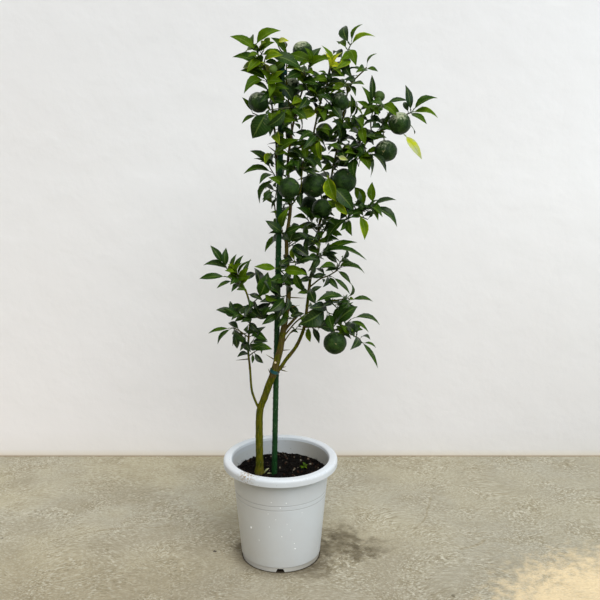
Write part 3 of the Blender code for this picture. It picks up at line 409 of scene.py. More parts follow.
# Across one ring, from its lower edge: the height off its middle, and whether it is sunk.
RING_FORM = ((-0.0030, 0), (-0.0014, 0), (-0.0006, 1), (0.0006, 1), (0.0014, 0), (0.0030, 0))
LATHE_STEPS = 128
NOTCHES = 4
NOTCH_WIDE = 0.027
NOTCH_TOP_WIDE = 0.016
NOTCH_DEEP = 0.016
NOTCH_TALL = 0.012
DRAINS = 8
DRAIN_RADIUS = 0.006
DRAIN_CIRCLE = 0.068
POT_GREY = (0.625, 0.665, 0.70)
POT_CLOUD = (0.60, 0.62, 0.64)
POT_DUST = (0.46, 0.40, 0.31)
POT_LOW_SHADE = (0.525, 0.54, 0.545)
POT_LEFT_SHADE = (0.59, 0.535, 0.41)
POT_FOOT_TINT_AND_LIGHT = (0.86, 0.81, 0.73)
POT_INSIDE_SHADE = (0.38, 0.40, 0.40)
POT_INSIDE_WARM_SHADE = (0.31, 0.28, 0.22)
GROOVE_SHADE = (0.25, 0.245, 0.235)
RIM_SMEAR = Vector((-0.088, -0.126, 0.309))


def wall_radius(height):
    share = (height - LEDGE) / (POT_TALL - RIM_DROP - LEDGE)
    return BASE_RADIUS + (NECK_RADIUS - BASE_RADIUS) * share


def on_circle(radius, turn, height=0.0):
    return Vector((radius * math.cos(turn), radius * math.sin(turn), height))


def arc_points(middle, radius, start, end, steps):
    turns = [math.radians(start + (end - start) * i / steps) for i in range(steps + 1)]
    return [(middle[0] + radius * math.cos(a), middle[1] + radius * math.sin(a)) for a in turns]


def spin_profile(outline, steps):
    """A turned body: the outline (radius, height) spun once round the Z axis."""
    bm = bmesh.new()
    points = [bm.verts.new((radius, 0, height)) for radius, height in outline]
    edges = [bm.edges.new(pair) for pair in zip(points, points[1:])]
    bmesh.ops.spin(bm, geom=points + edges, cent=(0, 0, 0), axis=(0, 0, 1), dvec=(0, 0, 0),
                   angle=2 * math.pi, steps=steps, use_merge=True)
    bmesh.ops.remove_doubles(bm, verts=bm.verts, dist=1e-6)
    bmesh.ops.recalc_face_normals(bm, faces=bm.faces)
    return bm


def pot_outline():
    """Half of the pot's section, from the middle of the foot round the rim to the floor."""
    lip = POT_TALL - RIM_DROP
    under = POT_TALL - 0.004
    outline = [(0, 0), (PAD_RADIUS, 0), (PAD_RADIUS + 0.002, FLOOR_UNDER),
               (FOOT_INNER - 0.001, FLOOR_UNDER), (FOOT_INNER, 0.0008), (FOOT_INNER + 0.001, 0),
               (FOOT_RADIUS - 0.001, 0), (FOOT_RADIUS, 0.001),
               (FOOT_RADIUS + 0.001, LEDGE - 0.0025)]
    outline += arc_points((BASE_RADIUS - LEDGE_ROLL, LEDGE + 0.0012), LEDGE_ROLL, -75, 10, 4)
    outline.append((wall_radius(LEDGE + 0.005), LEDGE + 0.005))
    for height in RINGS:
        for offset, sunk in RING_FORM:
            level = height + offset
            outline.append((wall_radius(level) - sunk * RING_DEPTH, level))
    outline += [(wall_radius(lip - 0.004), lip - 0.004), (NECK_RADIUS, lip),
                (NECK_RADIUS + 0.0012, under - 0.003), (NECK_RADIUS + 0.004, under),
                (RIM_RADIUS - 0.006, under), (RIM_RADIUS - 0.0035, under - 0.004),
                (RIM_RADIUS - 0.003, lip), (RIM_RADIUS - 0.0012, lip),
                (RIM_RADIUS - 0.0002, lip + 0.001)]
    outline += arc_points((RIM_RADIUS - RIM_ROLL, POT_TALL - RIM_ROLL), RIM_ROLL, 0, 90, 7)
    outline += arc_points((MOUTH_RADIUS + MOUTH_ROLL, POT_TALL - MOUTH_ROLL), MOUTH_ROLL,
                          90, 180, 5)
    return outline + [(wall_radius(lip) - POT_WALL, lip), (wall_radius(0.025) - POT_WALL, 0.025),
                      (FOOT_RADIUS - POT_WALL, FLOOR_TOP), (0, FLOOR_TOP)]


def pot_cutters():
    """The notches through the foot ring, narrower at the top, and the drain holes."""
    bm = bmesh.new()
    for number in range(NOTCHES):
        block = bmesh.ops.create_cube(bm, size=1)["verts"]
        bmesh.ops.scale(bm, verts=block, vec=(NOTCH_WIDE, NOTCH_DEEP, NOTCH_TALL))
        bmesh.ops.scale(bm, verts=[v for v in block if v.co.z > 0],
                        vec=(NOTCH_TOP_WIDE / NOTCH_WIDE, 1, 1))
        bmesh.ops.translate(bm, verts=block, vec=(0, -0.107, 0.0055))
        bmesh.ops.rotate(bm, verts=block, cent=(0, 0, 0),
                         matrix=Matrix.Rotation(2 * math.pi * number / NOTCHES, 3, "Z"))
    for number in range(DRAINS):
        place = on_circle(DRAIN_CIRCLE, 2 * math.pi * (number + 0.5) / DRAINS,
                          (FLOOR_UNDER + FLOOR_TOP) / 2)
        bmesh.ops.create_cone(bm, cap_ends=True, segments=24, radius1=DRAIN_RADIUS,
                              radius2=DRAIN_RADIUS, depth=0.012, matrix=Matrix.Translation(place))
    return finish_piece("pot_cutters", bm, smooth=False)


def build_pot_plastic():
    """Light grey plastic: satin, scuffed by handling, dusty low down, soil-smeared on the rim,
    with painted shade low down, on the left, inside and in the rings, and painted light on the
    foot band.
    """
    look, tree, shader = new_material("pot_plastic", Specular_IOR_Level=0.45)
    place = object_place(tree)
    axes = axes_of(tree, place)
    across, height = axes["X"], axes["Z"]
    tone = mix_colour(tree, patches(tree, place, 9.0, 0.3, 0.75, 4.0), POT_GREY, POT_CLOUD)
    dusty = times(tree, fade(tree, height, 0.09, 0.0, high=0.30),
                  patches(tree, place, 26.0, 0.35, 0.65, 5.0))
    tone = mix_colour(tree, dusty, tone, POT_DUST)
    # Painted shade: the pot gets darker towards its foot.
    tone = mix_colour(tree, fade(tree, height, 0.28, 0.02, high=0.5), tone, POT_LOW_SHADE)
    # Painted shade: below the rim the pot gets darker and warmer towards its left side.
    below = math_node(tree, "LESS_THAN", height, POT_TALL - RIM_DROP)
    worn = times(tree, fade(tree, across, 0.02, -0.14, high=0.40), below)
    tone = mix_colour(tree, worn, tone, POT_LEFT_SHADE)
    # The foot band gets a lighter warm colour: a dirty tint together with painted light against
    # the ledge's shade.
    foot_tint_and_light = times(tree, math_node(tree, "LESS_THAN", height, LEDGE - 0.001), 0.95)
    tone = mix_colour(tree, foot_tint_and_light, tone, POT_FOOT_TINT_AND_LIGHT)
    # Painted shade inside the pot, warmer towards the right.
    lean = (NECK_RADIUS - BASE_RADIUS) / (POT_TALL - RIM_DROP - LEDGE)
    wall = math_node(tree, "MULTIPLY_ADD", height, lean,
                     BASE_RADIUS - lean * LEDGE - POT_WALL / 2)
    flat = add_node(tree, "ShaderNodeCombineXYZ", {"X": across, "Y": axes["Y"]})
    within = math_node(tree, "LESS_THAN", distance(tree, flat.outputs[0], (0.0, 0.0, 0.0)), wall)
    tone = mix_colour(tree, times(tree, within, 0.6), tone, POT_INSIDE_SHADE)
    warm_shade = times(tree, within, fade(tree, across, 0.0, 0.09, high=0.65))
    tone = mix_colour(tree, warm_shade, tone, POT_INSIDE_WARM_SHADE)
    # Painted shade in the two ring grooves.
    for ring in RINGS:
        off = math_node(tree, "ABSOLUTE", math_node(tree, "SUBTRACT", height, ring))
        tone = mix_colour(tree, fade(tree, off, 0.0018, 0.0008, high=0.55), tone, GROOVE_SHADE)
    smear = times(tree, fade(tree, distance(tree, place, RIM_SMEAR), 0.036, 0.010, high=0.85),
                  patches(tree, place, 200.0, 0.48, 0.58, 5.0))
    tone = mix_colour(tree, smear, tone, (0.30, 0.20, 0.08))
    grit = times(tree, specks(tree, place, 260.0, 0.22, 0.05),
                 fade(tree, height, 0.25, 0.32, high=0.8))
    tone = mix_colour(tree, grit, tone, (0.07, 0.05, 0.03))
    scuffs = patches(tree, place, 70.0, 0.3, 0.8, 6.0)
    put(tree, fade(tree, scuffs, 0, 1, 0.34, 0.52), shader.inputs["Roughness"])
    finish_look(tree, shader, tone, scuffs, 0.06, 0.0006)
    return look


def cut_out(piece, cutter):
    """Cut a piece with a cutter for good, and put the cutter away."""
    change = piece.modifiers.new("cut", "BOOLEAN")
    change.solver = "EXACT"
    change.object = cutter
    ready = piece.evaluated_get(bpy.context.evaluated_depsgraph_get())
    done = bpy.data.meshes.new_from_object(ready)
    piece.modifiers.clear()
    piece.data = done
    bpy.data.objects.remove(cutter)


pot = finish_piece("pot_moulding", spin_profile(pot_outline(), LATHE_STEPS), build_pot_plastic())
cut_out(pot, pot_cutters())
pot.data.set_sharp_from_angle(angle=math.radians(32))
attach(pot, "root")
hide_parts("pot")

# A few drops of water are left from the last watering, each a flattened bead.
# On the wall: across and height in metres, then the radius in millimetres.
DROPS = ((-0.083, 0.133, 3.0), (0.018, 0.228, 1.7), (0.001, 0.213, 1.8), (-0.024, 0.230, 1.5),
         (0.042, 0.076, 2.0), (0.040, 0.094, 1.5), (0.005, 0.120, 1.6), (-0.033, 0.192, 1.4),
         (-0.030, 0.150, 1.3), (0.020, 0.160, 1.2), (-0.060, 0.100, 1.3), (0.062, 0.190, 1.3),
         (-0.012, 0.175, 1.1), (0.030, 0.140, 1.1))
# On the rim: turn round the pot and rise round the rolled lip in degrees, then the radius.
RIM_DROPS = ((-68, 20, 1.0), (-62, 42, 1.2), (-57, 8, 0.9), (-52, 30, 1.3), (-47, 55, 1.0),
             (-43, 15, 0.9), (-76, 50, 1.1), (-84, 12, 0.8), (-96, 35, 0.9), (-36, 40, 1.1),
             (-65, 66, 0.9), (-110, 60, 0.9))


def heading(turn, rise):
    """The direction at a turn round the Z axis and a rise above level, in radians."""
    return Vector((math.cos(turn) * math.cos(rise), math.sin(turn) * math.cos(rise),
                   math.sin(rise)))


def add_drop(bm, place, out, size, form):
    """A bead that sits at a place, faces out, and is drawn out and flattened by its form."""
    facing = out.to_track_quat("Z", "Y").to_matrix().to_4x4()
    seat = Matrix.Translation(place) @ facing @ Matrix.Diagonal((1, *form, 1))
    bmesh.ops.create_uvsphere(bm, u_segments=16, v_segments=10, radius=size / 1000, matrix=seat)


bm = bmesh.new()
for turn, rise, size in RIM_DROPS:
    turn = math.radians(turn)
    out = heading(turn, math.radians(rise))
    roll = on_circle(RIM_RADIUS - RIM_ROLL, turn, POT_TALL - RIM_ROLL)
    add_drop(bm, roll + out * RIM_ROLL, out, size, (1.2, 0.5))
for across, height, size in DROPS:
    depth = -math.sqrt(wall_radius(height) ** 2 - across ** 2)
    out = Vector((across, depth, 0)).normalized()
    add_drop(bm, Vector((across, depth, height)), out, size, (1.25, 0.45))
# The drops are near-white: a painted highlight stands in for their glints.
water = new_material("water", Base_Color=(0.98, 0.99, 1.0, 1.0), Roughness=0.05, IOR=1.33,
                     Transmission_Weight=0.12)[0]
drops = finish_piece("pot_water_drops", bm, water)
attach(drops, "root")


# ---- soil: dark bark-and-peat potting mix, five centimetres below the rim -------------------
# A crumbly mix of composted bark, peat and a little pale pumice. The top is uneven, loose
# crumbs lie all over it, and a few cling to the wall where watering splashed them.
SOIL_TOP = 0.261
SOIL_FOOT = 0.236
SOIL_STEPS = 144
SOIL_RINGS = 44
CRUMBS = 1500
BACK_CRUMBS = 70
WALL_CRUMBS = 46
SOIL_BLACK = (0.003, 0.0022, 0.0015)
SOIL_BROWN = (0.005, 0.0035, 0.0025)
SOIL_RUST = (0.012, 0.007, 0.0045)
SOIL_DAMP = (0.003, 0.0025, 0.002)
BARK_CHIP = (0.062, 0.026, 0.014)
PUMICE = (0.26, 0.23, 0.17)
TRUNK_FOOT = Vector((-0.060, -0.015, SOIL_TOP))


def soil_rise(place):
    """How far the loose top lies above or below its level."""
    rough = noise.fractal(place * 60, 0.9, 2.2, 4) * 0.0026
    heap = noise.noise(place * 14) * 0.0030
    collar = 0.004 * math.exp(-((place - TRUNK_FOOT).length / 0.026) ** 2)
    return rough + heap + collar


def ramp_node(tree, value, stops):
    """A colour ramp; each stop is (place, colour)."""
    made = tree.nodes.new("ShaderNodeValToRGB")
    stretch = made.color_ramp.elements
    while len(stretch) < len(stops):
        stretch.new(0.5)
    for element, (place, colour) in zip(stretch, stops):
        element.position = place
        element.color = (*colour, 1.0)
    put(tree, value, made.inputs[0])
    return made.outputs[0]


def build_soil_look():
    look, tree, shader = new_material("potting_mix", Roughness=0.8, Specular_IOR_Level=0.08)
    place = object_place(tree)
    tone = ramp_node(tree, attribute(tree, "crumb"), (
        (0.0, SOIL_BLACK), (0.55, SOIL_BROWN), (0.82, SOIL_RUST), (0.93, BARK_CHIP),
        (0.99, PUMICE)))
    tone = mix_colour(tree, patches(tree, place, 180.0, 0.42, 0.6, 5.0), tone, SOIL_DAMP)
    finish_look(tree, shader, tone, patches(tree, place, 700.0, 0.3, 0.7, 5.0), 0.8, 0.0015)
    return look


potting_mix = build_soil_look()
reach = wall_radius(SOIL_TOP) - POT_WALL + 0.0006
outline = [(0, SOIL_FOOT), (wall_radius(SOIL_FOOT) - POT_WALL - 0.001, SOIL_FOOT)]
outline += [(reach * (1 - i / SOIL_RINGS), SOIL_TOP) for i in range(SOIL_RINGS + 1)]
bm = spin_profile(outline, SOIL_STEPS)
for vertex in bm.verts:
    if vertex.co.z > SOIL_TOP - 0.004:
        vertex.co.z += soil_rise(vertex.co)
crumb_kind = bm.verts.layers.float.new("crumb")
for vertex in bm.verts:
    vertex[crumb_kind] = 0.25 + 0.5 * noise.noise(vertex.co * 90)
soil = finish_piece("soil_bed", bm, potting_mix)
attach(soil, "root")
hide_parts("soil")


def add_crumb(bm, place, size, kind, chance):
    tilt = Matrix.Rotation(chance.uniform(0, 6.3), 4, Vector((
        chance.uniform(-1, 1), chance.uniform(-1, 1), chance.uniform(-1, 1.01))).normalized())
    shape = Matrix.Diagonal((size * chance.uniform(0.7, 1.5), size,
                             size * chance.uniform(0.5, 0.9), 1))
    made = bmesh.ops.create_icosphere(bm, subdivisions=1, radius=0.5,
                                      matrix=Matrix.Translation(place) @ tilt @ shape)["verts"]
    layer = bm.verts.layers.float["crumb"]
    for vertex in made:
        vertex.co += Vector([chance.uniform(-0.12, 0.12) * size for _ in range(3)])
        vertex[layer] = kind


bm = bmesh.new()
bm.verts.layers.float.new("crumb")
chance = random.Random(11)
for _ in range(CRUMBS):
    turn = chance.uniform(0, 2 * math.pi)
    spot = on_circle((reach - 0.003) * math.sqrt(chance.random()), turn, SOIL_TOP)
    size = 0.0020 + 0.0085 * chance.random() ** 2.6
    spot.z += soil_rise(spot) + 0.18 * size
    add_crumb(bm, spot, size, chance.random() ** 0.8, chance)
for _ in range(BACK_CRUMBS):
    turn = math.radians(chance.uniform(10, 170))
    spot = on_circle(reach * chance.uniform(0.72, 0.95), turn, SOIL_TOP)
    spot.z += soil_rise(spot) + 0.001
    add_crumb(bm, spot, chance.uniform(0.005, 0.011), chance.random(), chance)
for _ in range(WALL_CRUMBS):
    turn = chance.uniform(0, 2 * math.pi)
    level = SOIL_TOP + 0.002 + 0.020 * chance.random() ** 2
    spot = on_circle(wall_radius(level) - POT_WALL - 0.0004, turn, level)
    add_crumb(bm, spot, chance.uniform(0.0012, 0.0028), 0.3, chance)
crumbs = finish_piece("soil_crumbs", bm, potting_mix, smooth=False)
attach(crumbs, "root")


# ---- wood: the grafted trunk, its limbs and thorns --------------------------------------------
# One living body. Smooth green bark covers the lower trunk and the young limbs, and it turns
# grey brown above the first fork. A pruned limb left a pale scar and a stub; thorns stay on.

# The stem is written as (radius in mm, place); a limb as thick and thin radius, then its route.
STEM = (
    (16.5, (-6.1, -1.5, 26.2)), (13.0, (-6.1, -1.6, 27.4)), (11.2, (-6, -1.7, 29.0)), (10.6,
    (-6, -1.8, 32)),
    (10.5, (-6, -1.8, 38)), (10.4, (-5.9, -2, 44)), (9.6, (-5.5, -2.1, 47)),
    (9.6, (-4.4, -2.4, 50)), (9.8, (-3.1, -2.9, 54)), (10.0, (-1.8, -3.5, 57.5)),
    (9.6, (-1.0, -3.6, 60.5)), (9.0, (0.2, -3.4, 65)), (8.3, (1.0, -3.2, 70)),
    (7.4, (1.9, -2.8, 75)), (6.7, (2.5, -2.3, 80)), (6.1, (2.4, -1.6, 86)),
    (5.5, (2, -1.1, 92)), (5.0, (2.2, -0.9, 97)), (4.6, (2.9, -0.4, 102)),
    (4.2, (3.1, 0.2, 106)), (3.9, (2.6, 0.5, 111)), (3.6, (2.4, 0.4, 116)),
    (3.2, (3, -0.1, 121)), (2.9, (3.8, -0.5, 126)), (2.5, (5.2, -0.9, 131.5)),
    (2.2, (6.5, -1.2, 136)), (1.9, (7.0, -1.6, 139.5)),
)
LIMBS = {
    "left": (3.4, 2.4, ((-5.9, -1.9, 46.2), (-7.3, -2.2, 49.9), (-8, -2.8, 53.1),
                        (-8.3, -3.6, 59.3), (-8.7, -4.4, 64.8), (-8.4, -5, 69.4),
                        (-7.9, -5.5, 74.4), (-8, -5.8, 78.2), (-8.9, -6.2, 81.9),
                        (-10.5, -6.8, 85.4))),
    "right": (5.6, 3.0, ((-0.8, -3.5, 58.3), (0.3, -3.3, 59.4), (1.6, -2.8, 61.3), (3, -2.4, 63),
                         (4.4, -2, 64.8), (5.7, -1.2, 67.2), (6.9, -0.5, 70.6), (7.5, 0.5, 75),
                         (8, 1.2, 79.1), (8.7, 2.5, 84.5), (10.1, 3.2, 88),
                         (10.9, 4, 92.7), (10.9, 4.8, 97.3), (11.8, 5.5, 101.7),
                         (13.1, 6, 106.3), (14.2, 6, 111), (14.9, 5.5, 115.5))),
    "upper_left": (3.6, 1.9, ((3.0, 0.1, 104.5), (1.3, 1.6, 107.5), (-0.3, 1.1, 111.2),
                              (-0.7, 0, 116.7), (-0.6, -0.3, 120.5), (-1.2, -1.4, 126.1),
                              (-1.7, -2.2, 131.4), (-2.6, -3, 137.8), (-4.1, -3.6, 142.1),
                              (-5.3, -4.1, 144.5))),
    "upper_right": (2.7, 1.7, ((14.9, 5.5, 115), (15.7, 4.5, 119.4), (16.6, 3.2, 124.4),
                               (17.3, 2, 129.2), (17.8, 1, 133), (19.3, 0, 136.9),
                               (20.8, -0.6, 138.7), (22.2, -1, 140))),
    "centre": (3.0, 1.7, ((2.6, 0.1, 118.4), (5.7, -0.2, 120.2), (8.6, -0.5, 122),
                          (9.6, -0.8, 125.6), (10.4, -0.8, 129.5), (11.4, -0.5, 133.1),
                          (12.7, 0, 136.4), (14.3, 0.5, 139.7), (16.4, 0.8, 142.5),
                          (17.8, 0.8, 144.5))),
    "far_right": (2.8, 1.7, ((14.9, 5.5, 115.2), (17.8, 3.5, 119.3), (21.7, 1.5, 121.6),
                             (24.8, 0.2, 123.6), (29, 0.4, 125.2), (31.6, 0.7, 127.3),
                             (34.1, -0.5, 129))),
    "right_top": (1.9, 1.6, ((24.8, 0.2, 123.6), (24.4, 0.7, 126.2), (24.9, 0.7, 129.3),
                             (26.3, 0.8, 131.2))),
    "low_right": (2.2, 1.5, ((1.4, -3.1, 68.6), (2.6, -3, 70.2), (4.4, -3.4, 72.5), (7, -4.6, 75),
                             (8.9, -5.8, 76.7), (12.4, -7, 79.1), (15.9, -8, 80.2),
                             (17.4, -8.4, 80.5))),
    "lowest_right": (2.5, 1.6, ((6.4, -0.5, 70.2), (10.6, -2.5, 70.9), (15, -4, 70.6),
                                (18, -5, 70.4), (21.3, -6.4, 69.1))),
    "middle_right": (2.2, 1.7, ((8.1, 1.7, 81), (11.2, 0.5, 83.9), (13.4, -0.5, 85),
                                (15.6, -1.4, 86.6))),
    "third_right": (2.4, 1.6, ((10.9, 4.2, 94.1), (13.1, 3, 97.7), (16.6, 2, 99.7),
                               (20.9, 1, 101.7), (23.6, 0.1, 103.8))),
    "low_left": (1.9, 1.6, ((-8.4, -4.9, 68.6), (-10.8, -6, 70.8), (-12.6, -6.7, 72))),
    "between_fruits": (2.0, 1.6, ((3.1, 0, 104.2), (4.6, -1.4, 106.5), (5.7, -2.5, 108.8),
                                  (6.1, -2.8, 112.3), (6.4, -2.4, 115.5), (7, -1.8, 118),
                                  (7.4, -1.3, 119.6))),
    "back_low": (2.8, 1.7, ((2.2, -1.2, 90), (2, 2.5, 92.5), (0.6, 6.5, 96), (-1, 10, 99.5),
                            (-1.6, 12, 103))),
    "back_middle": (2.6, 1.6, ((11.4, 5.1, 99.5), (12, 8.5, 103), (11, 12, 107.5),
                               (9.5, 14, 111.5))),
    "back_high": (2.6, 1.6, ((2.9, 0, 120.2), (2, 3.5, 123), (2.5, 7, 127), (4, 9.5, 131.5))),
    "tied_leader": (2.0, 1.6, ((3.5, -0.3, 124.8), (2.9, -1.6, 130.5), (2.3, -2.3, 135.5),
                               (2.1, -2, 140.4), (2.5, -1.6, 143.2))),
    "cut_stub": (4.2, 3.5, ((1.2, -3.1, 69.6), (2.1, -3, 71), (3.5, -3.5, 72.8),
                            (4.8, -4, 74.4))),
    "low_twig": (1.8, 1.2, ((1.4, -3.4, 67.1), (2.3, -3.8, 68.7), (3.7, -4.5, 70.6),
                            (5.1, -5, 71.1), (7.4, -6, 71.1))),
}
THORNS = (
    ((0.3, -3.4, 64.4), (3.0, -3.7, 64.7)), ((-1.0, -3.6, 61.5), (-3.8, -4.3, 63.5)),
    ((-8.5, -4.0, 62.1), (-12.1, -4.8, 62.0)), ((-2.5, -4.1, 57.6), (-3.2, -4.8, 59.5)),
    ((2.1, -1.1, 93.5), (4.1, -2.4, 95.4)), ((-0.7, -0.2, 118.8), (-2.9, -0.9, 120.6)),
    ((2.4, -2.4, 79.4), (7.2, -2.2, 79.1)), ((2.0, -2.8, 76.4), (5.6, -3.2, 77.4)),
    ((0.5, -3.9, 59.5), (1.8, -4.3, 60.0)), ((0.4, -4.0, 58.9), (2.2, -4.4, 58.5)),
)
LIMB_AGES = {"left": 0.40, "right": 0.44, "upper_left": 0.5, "centre": 0.5, "low_right": 0.6,
             "cut_stub": 0.75, "lowest_right": 0.5, "far_right": 0.5}
BARK_OLIVE = (0.112, 0.104, 0.005)
BARK_GREEN = (0.045, 0.058, 0.004)
BARK_BROWN = (0.100, 0.078, 0.022)
BARK_RED = (0.068, 0.046, 0.014)
BARK_MUD = (0.05, 0.032, 0.018)
BARK_PORE = (0.30, 0.27, 0.17)
CUT_WOOD = (0.78, 0.66, 0.42)
CUT_SCAR = Vector((-0.0112, -0.0430, 0.6120))
CUT_SCAR_RADIUS = 0.0036


def grow_tube(bm, stations, sides):
    """Pull a ring along (radius, place) stations, turning with them, and close both ends."""
    radii, route = zip(*stations)
    axes = [(b - a).normalized() for a, b in zip(route, route[1:])]
    axes = [axes[0]] + [(a + b).normalized() for a, b in zip(axes, axes[1:])] + [axes[-1]]
    facing = axes[0].to_track_quat("Z", "Y")
    before = Matrix.LocRotScale(route[0], facing, Vector((radii[0],) * 3))
    ring = bmesh.ops.create_circle(bm, cap_ends=True, radius=1, segments=sides,
                                   matrix=before)["verts"]
    edges = list({edge for vertex in ring for edge in vertex.link_edges})
    faces = set(edges[0].link_faces)
    for place, axis, last, radius in zip(route[1:], axes[1:], axes, radii[1:]):
        facing = last.rotation_difference(axis) @ facing
        now = Matrix.LocRotScale(place, facing, Vector((radius,) * 3))
        grown = bmesh.ops.extrude_edge_only(bm, edges=edges)["geom"]
        faces |= {item for item in grown if isinstance(item, bmesh.types.BMFace)}
        ring = [item for item in grown if isinstance(item, bmesh.types.BMVert)]
        bmesh.ops.transform(bm, matrix=now @ before.inverted(), verts=ring)
        edges = [item for item in grown if isinstance(item, bmesh.types.BMEdge)
                 and item.verts[0] in ring and item.verts[1] in ring]
        before = now
    faces |= set(bmesh.ops.contextual_create(bm, geom=edges)["faces"])
    bmesh.ops.recalc_face_normals(bm, faces=list(faces))
    return faces


def smooth_route(stations, spacing):
    """Even points along a smooth curve through (radius, place) stations."""
    points = [stations[0]] + list(stations) + [stations[-1]]
    done = []
    for (_, a), (r1, b), (r2, c), (_, d) in zip(points, points[1:], points[2:], points[3:]):
        count = max(1, round((c - b).length / spacing))
        for step in range(count):
            t = step / count
            place = 0.5 * ((2 * b) + (c - a) * t + (2 * a - 5 * b + 4 * c - d) * t * t
                           + (3 * b - a - 3 * c + d) * t ** 3)
            done.append((r1 + (r2 - r1) * t, place))
    return done + [stations[-1]]


def metres(place):
    return Vector(place[:3]) * 0.01


def add_limb(bm, stations, sides, swell, chance):
    """One stem or limb, with the slight swellings of its old leaf nodes."""
    phase = chance.uniform(0, 6.3)
    grown = []
    for step, (radius, place) in enumerate(smooth_route(stations, 0.006)):
        knot = max(0.0, math.sin(step * 0.95 + phase)) ** 6
        wander = 0.05 * noise.noise(place * 60)
        grown.append((radius * (1 + swell * knot + wander), place))
    return grow_tube(bm, grown, sides)


def build_bark():
    """Smooth young citrus bark: olive green, turning grey brown and finely striped with age."""
    look, tree, shader = new_material("bark", Roughness=0.7, Specular_IOR_Level=0.05)
    place = object_place(tree)
    stripes = add_node(tree, "ShaderNodeMapping", {"Vector": place, "Scale": (1.0, 1.0, 0.16)})
    streak = patches(tree, stripes.outputs[0], 260.0, 0.35, 0.68, 5.0)
    blotch = patches(tree, place, 38.0, 0.42, 0.62, 4.0)
    green = mix_colour(tree, streak, BARK_OLIVE, BARK_GREEN)
    brown = mix_colour(tree, streak, BARK_BROWN, BARK_RED)
    age = stray(tree, attribute(tree, "age"), blotch, 0.55)
    tone = mix_colour(tree, fade(tree, age, 0.35, 0.7, smooth=True), green, brown)
    muddy = times(tree, fade(tree, axes_of(tree, place)["Z"], 0.30, 0.262, high=0.7),
                  patches(tree, place, 90.0, 0.4, 0.6, 5.0))
    tone = mix_colour(tree, muddy, tone, BARK_MUD)
    tone = mix_colour(tree, specks(tree, place, 420.0, 0.25, 0.10), tone, BARK_PORE)
    scar = math_node(tree, "LESS_THAN", distance(tree, place, CUT_SCAR), CUT_SCAR_RADIUS)
    tone = mix_colour(tree, scar, tone, CUT_WOOD)
    ridge = math_node(tree, "ADD", streak, times(tree, blotch, 0.6))
    finish_look(tree, shader, tone, ridge, 0.45, 0.0012)
    return look


bm = bmesh.new()
age_layer = bm.verts.layers.float.new("age")
chance = random.Random(5)


def set_age(faces, low, high):
    """Bark age along a limb: low up to 50 cm above the ground, and high from 75 cm."""
    for vertex in {vertex for face in faces for vertex in face.verts}:
        vertex[age_layer] = low + (high - low) * min(1.0, max(0.0, (vertex.co.z - 0.5) / 0.25))


stem = [(0.0125, TRUNK_FOOT + Vector((0, 0, -0.02)))]
stem += [(radius / 1000, metres(place)) for radius, place in STEM]
set_age(add_limb(bm, stem, 20, 0.05, chance), 0.18, 0.85)
for limb_name, (thick, thin, places) in LIMBS.items():
    last = len(places) - 1
    limb = [((thick + (thin - thick) * i / last) / 1000, metres(place))
            for i, place in enumerate(places)]
    age = LIMB_AGES.get(limb_name, 0.35)
    set_age(add_limb(bm, limb, 12, 0.10, chance), age, age)
for foot, tip in THORNS:
    foot, tip = metres(foot), metres(tip)
    spine = [(0.0019, foot), (0.0014, foot.lerp(tip, 0.5)), (0.0003, tip)]
    set_age(grow_tube(bm, spine, 8), 0.8, 0.8)
wood_skin = BVHTree.FromBMesh(bm)
wood = finish_piece("trunk_and_limbs", bm, build_bark())
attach(wood, "root")
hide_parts("trunk")


# ---- stake: a 16 mm steel tube in a knobbed green plastic coat, 1.38 m long ------------------
# The coat carries rows of small nubs that keep ties from slipping. A dark cap closes the top
# and a pointed shoe of the same plastic is pushed down through the soil.
STAKE_RADIUS = 0.0078
STAKE_AT_SOIL = Vector((-0.018, -0.018, SOIL_TOP))
STAKE_TOP = Vector((0.010, -0.018, 1.430))
STAKE_DEPTH = 0.215
STAKE_SIDES = 24
STAKE_STEP = 0.0042
STAKE_FOOT_GAP = 0.012
STAKE_HEAD_GAP = 0.004
NUB_EVERY = 4
NUB_RIM = 0.0005
NUB_TALL = 0.0007
FITTING_STEPS = 32
CAP_LENGTH = 0.018
CAP_RADIUS = STAKE_RADIUS + 0.0013
CAP_ROLL = 0.006
CAP_BORE = STAKE_RADIUS + 0.0002
CAP_FLOOR = CAP_LENGTH - 0.008
SHOE_TIP = 0.0022
SHOE_NOSE = 0.0006
SHOE_SHOULDER = 0.012
SHOE_LENGTH = 0.036
SHOE_RADIUS = 0.0092
SHOE_BORE = 0.0082
SHOE_RINGS = 5
STAKE_GREEN = (0.006, 0.034, 0.008)
STAKE_WORN = (0.012, 0.050, 0.014)
CAP_GREEN = (0.005, 0.020, 0.018)
CAP_WORN = (0.010, 0.036, 0.030)
COAT_FLECK = (0.20, 0.22, 0.15)

stake_axis = (STAKE_TOP - STAKE_AT_SOIL).normalized()
stake_foot = STAKE_AT_SOIL - stake_axis * STAKE_DEPTH
stake_length = (STAKE_TOP - stake_foot).length


def build_coat(name, colour, worn):
    look, tree, shader = new_material(name, Specular_IOR_Level=0.15)
    place = object_place(tree)
    tone = mix_colour(tree, patches(tree, place, 55.0, 0.35, 0.7, 5.0), colour, worn)
    tone = mix_colour(tree, specks(tree, place, 300.0, 0.25, 0.07), tone, COAT_FLECK)
    scratches = patches(tree, place, 150.0, 0.35, 0.75, 6.0)
    put(tree, fade(tree, scratches, 0, 1, 0.28, 0.5), shader.inputs["Roughness"])
    finish_look(tree, shader, tone, scratches, 0.08, 0.0005)
    return look


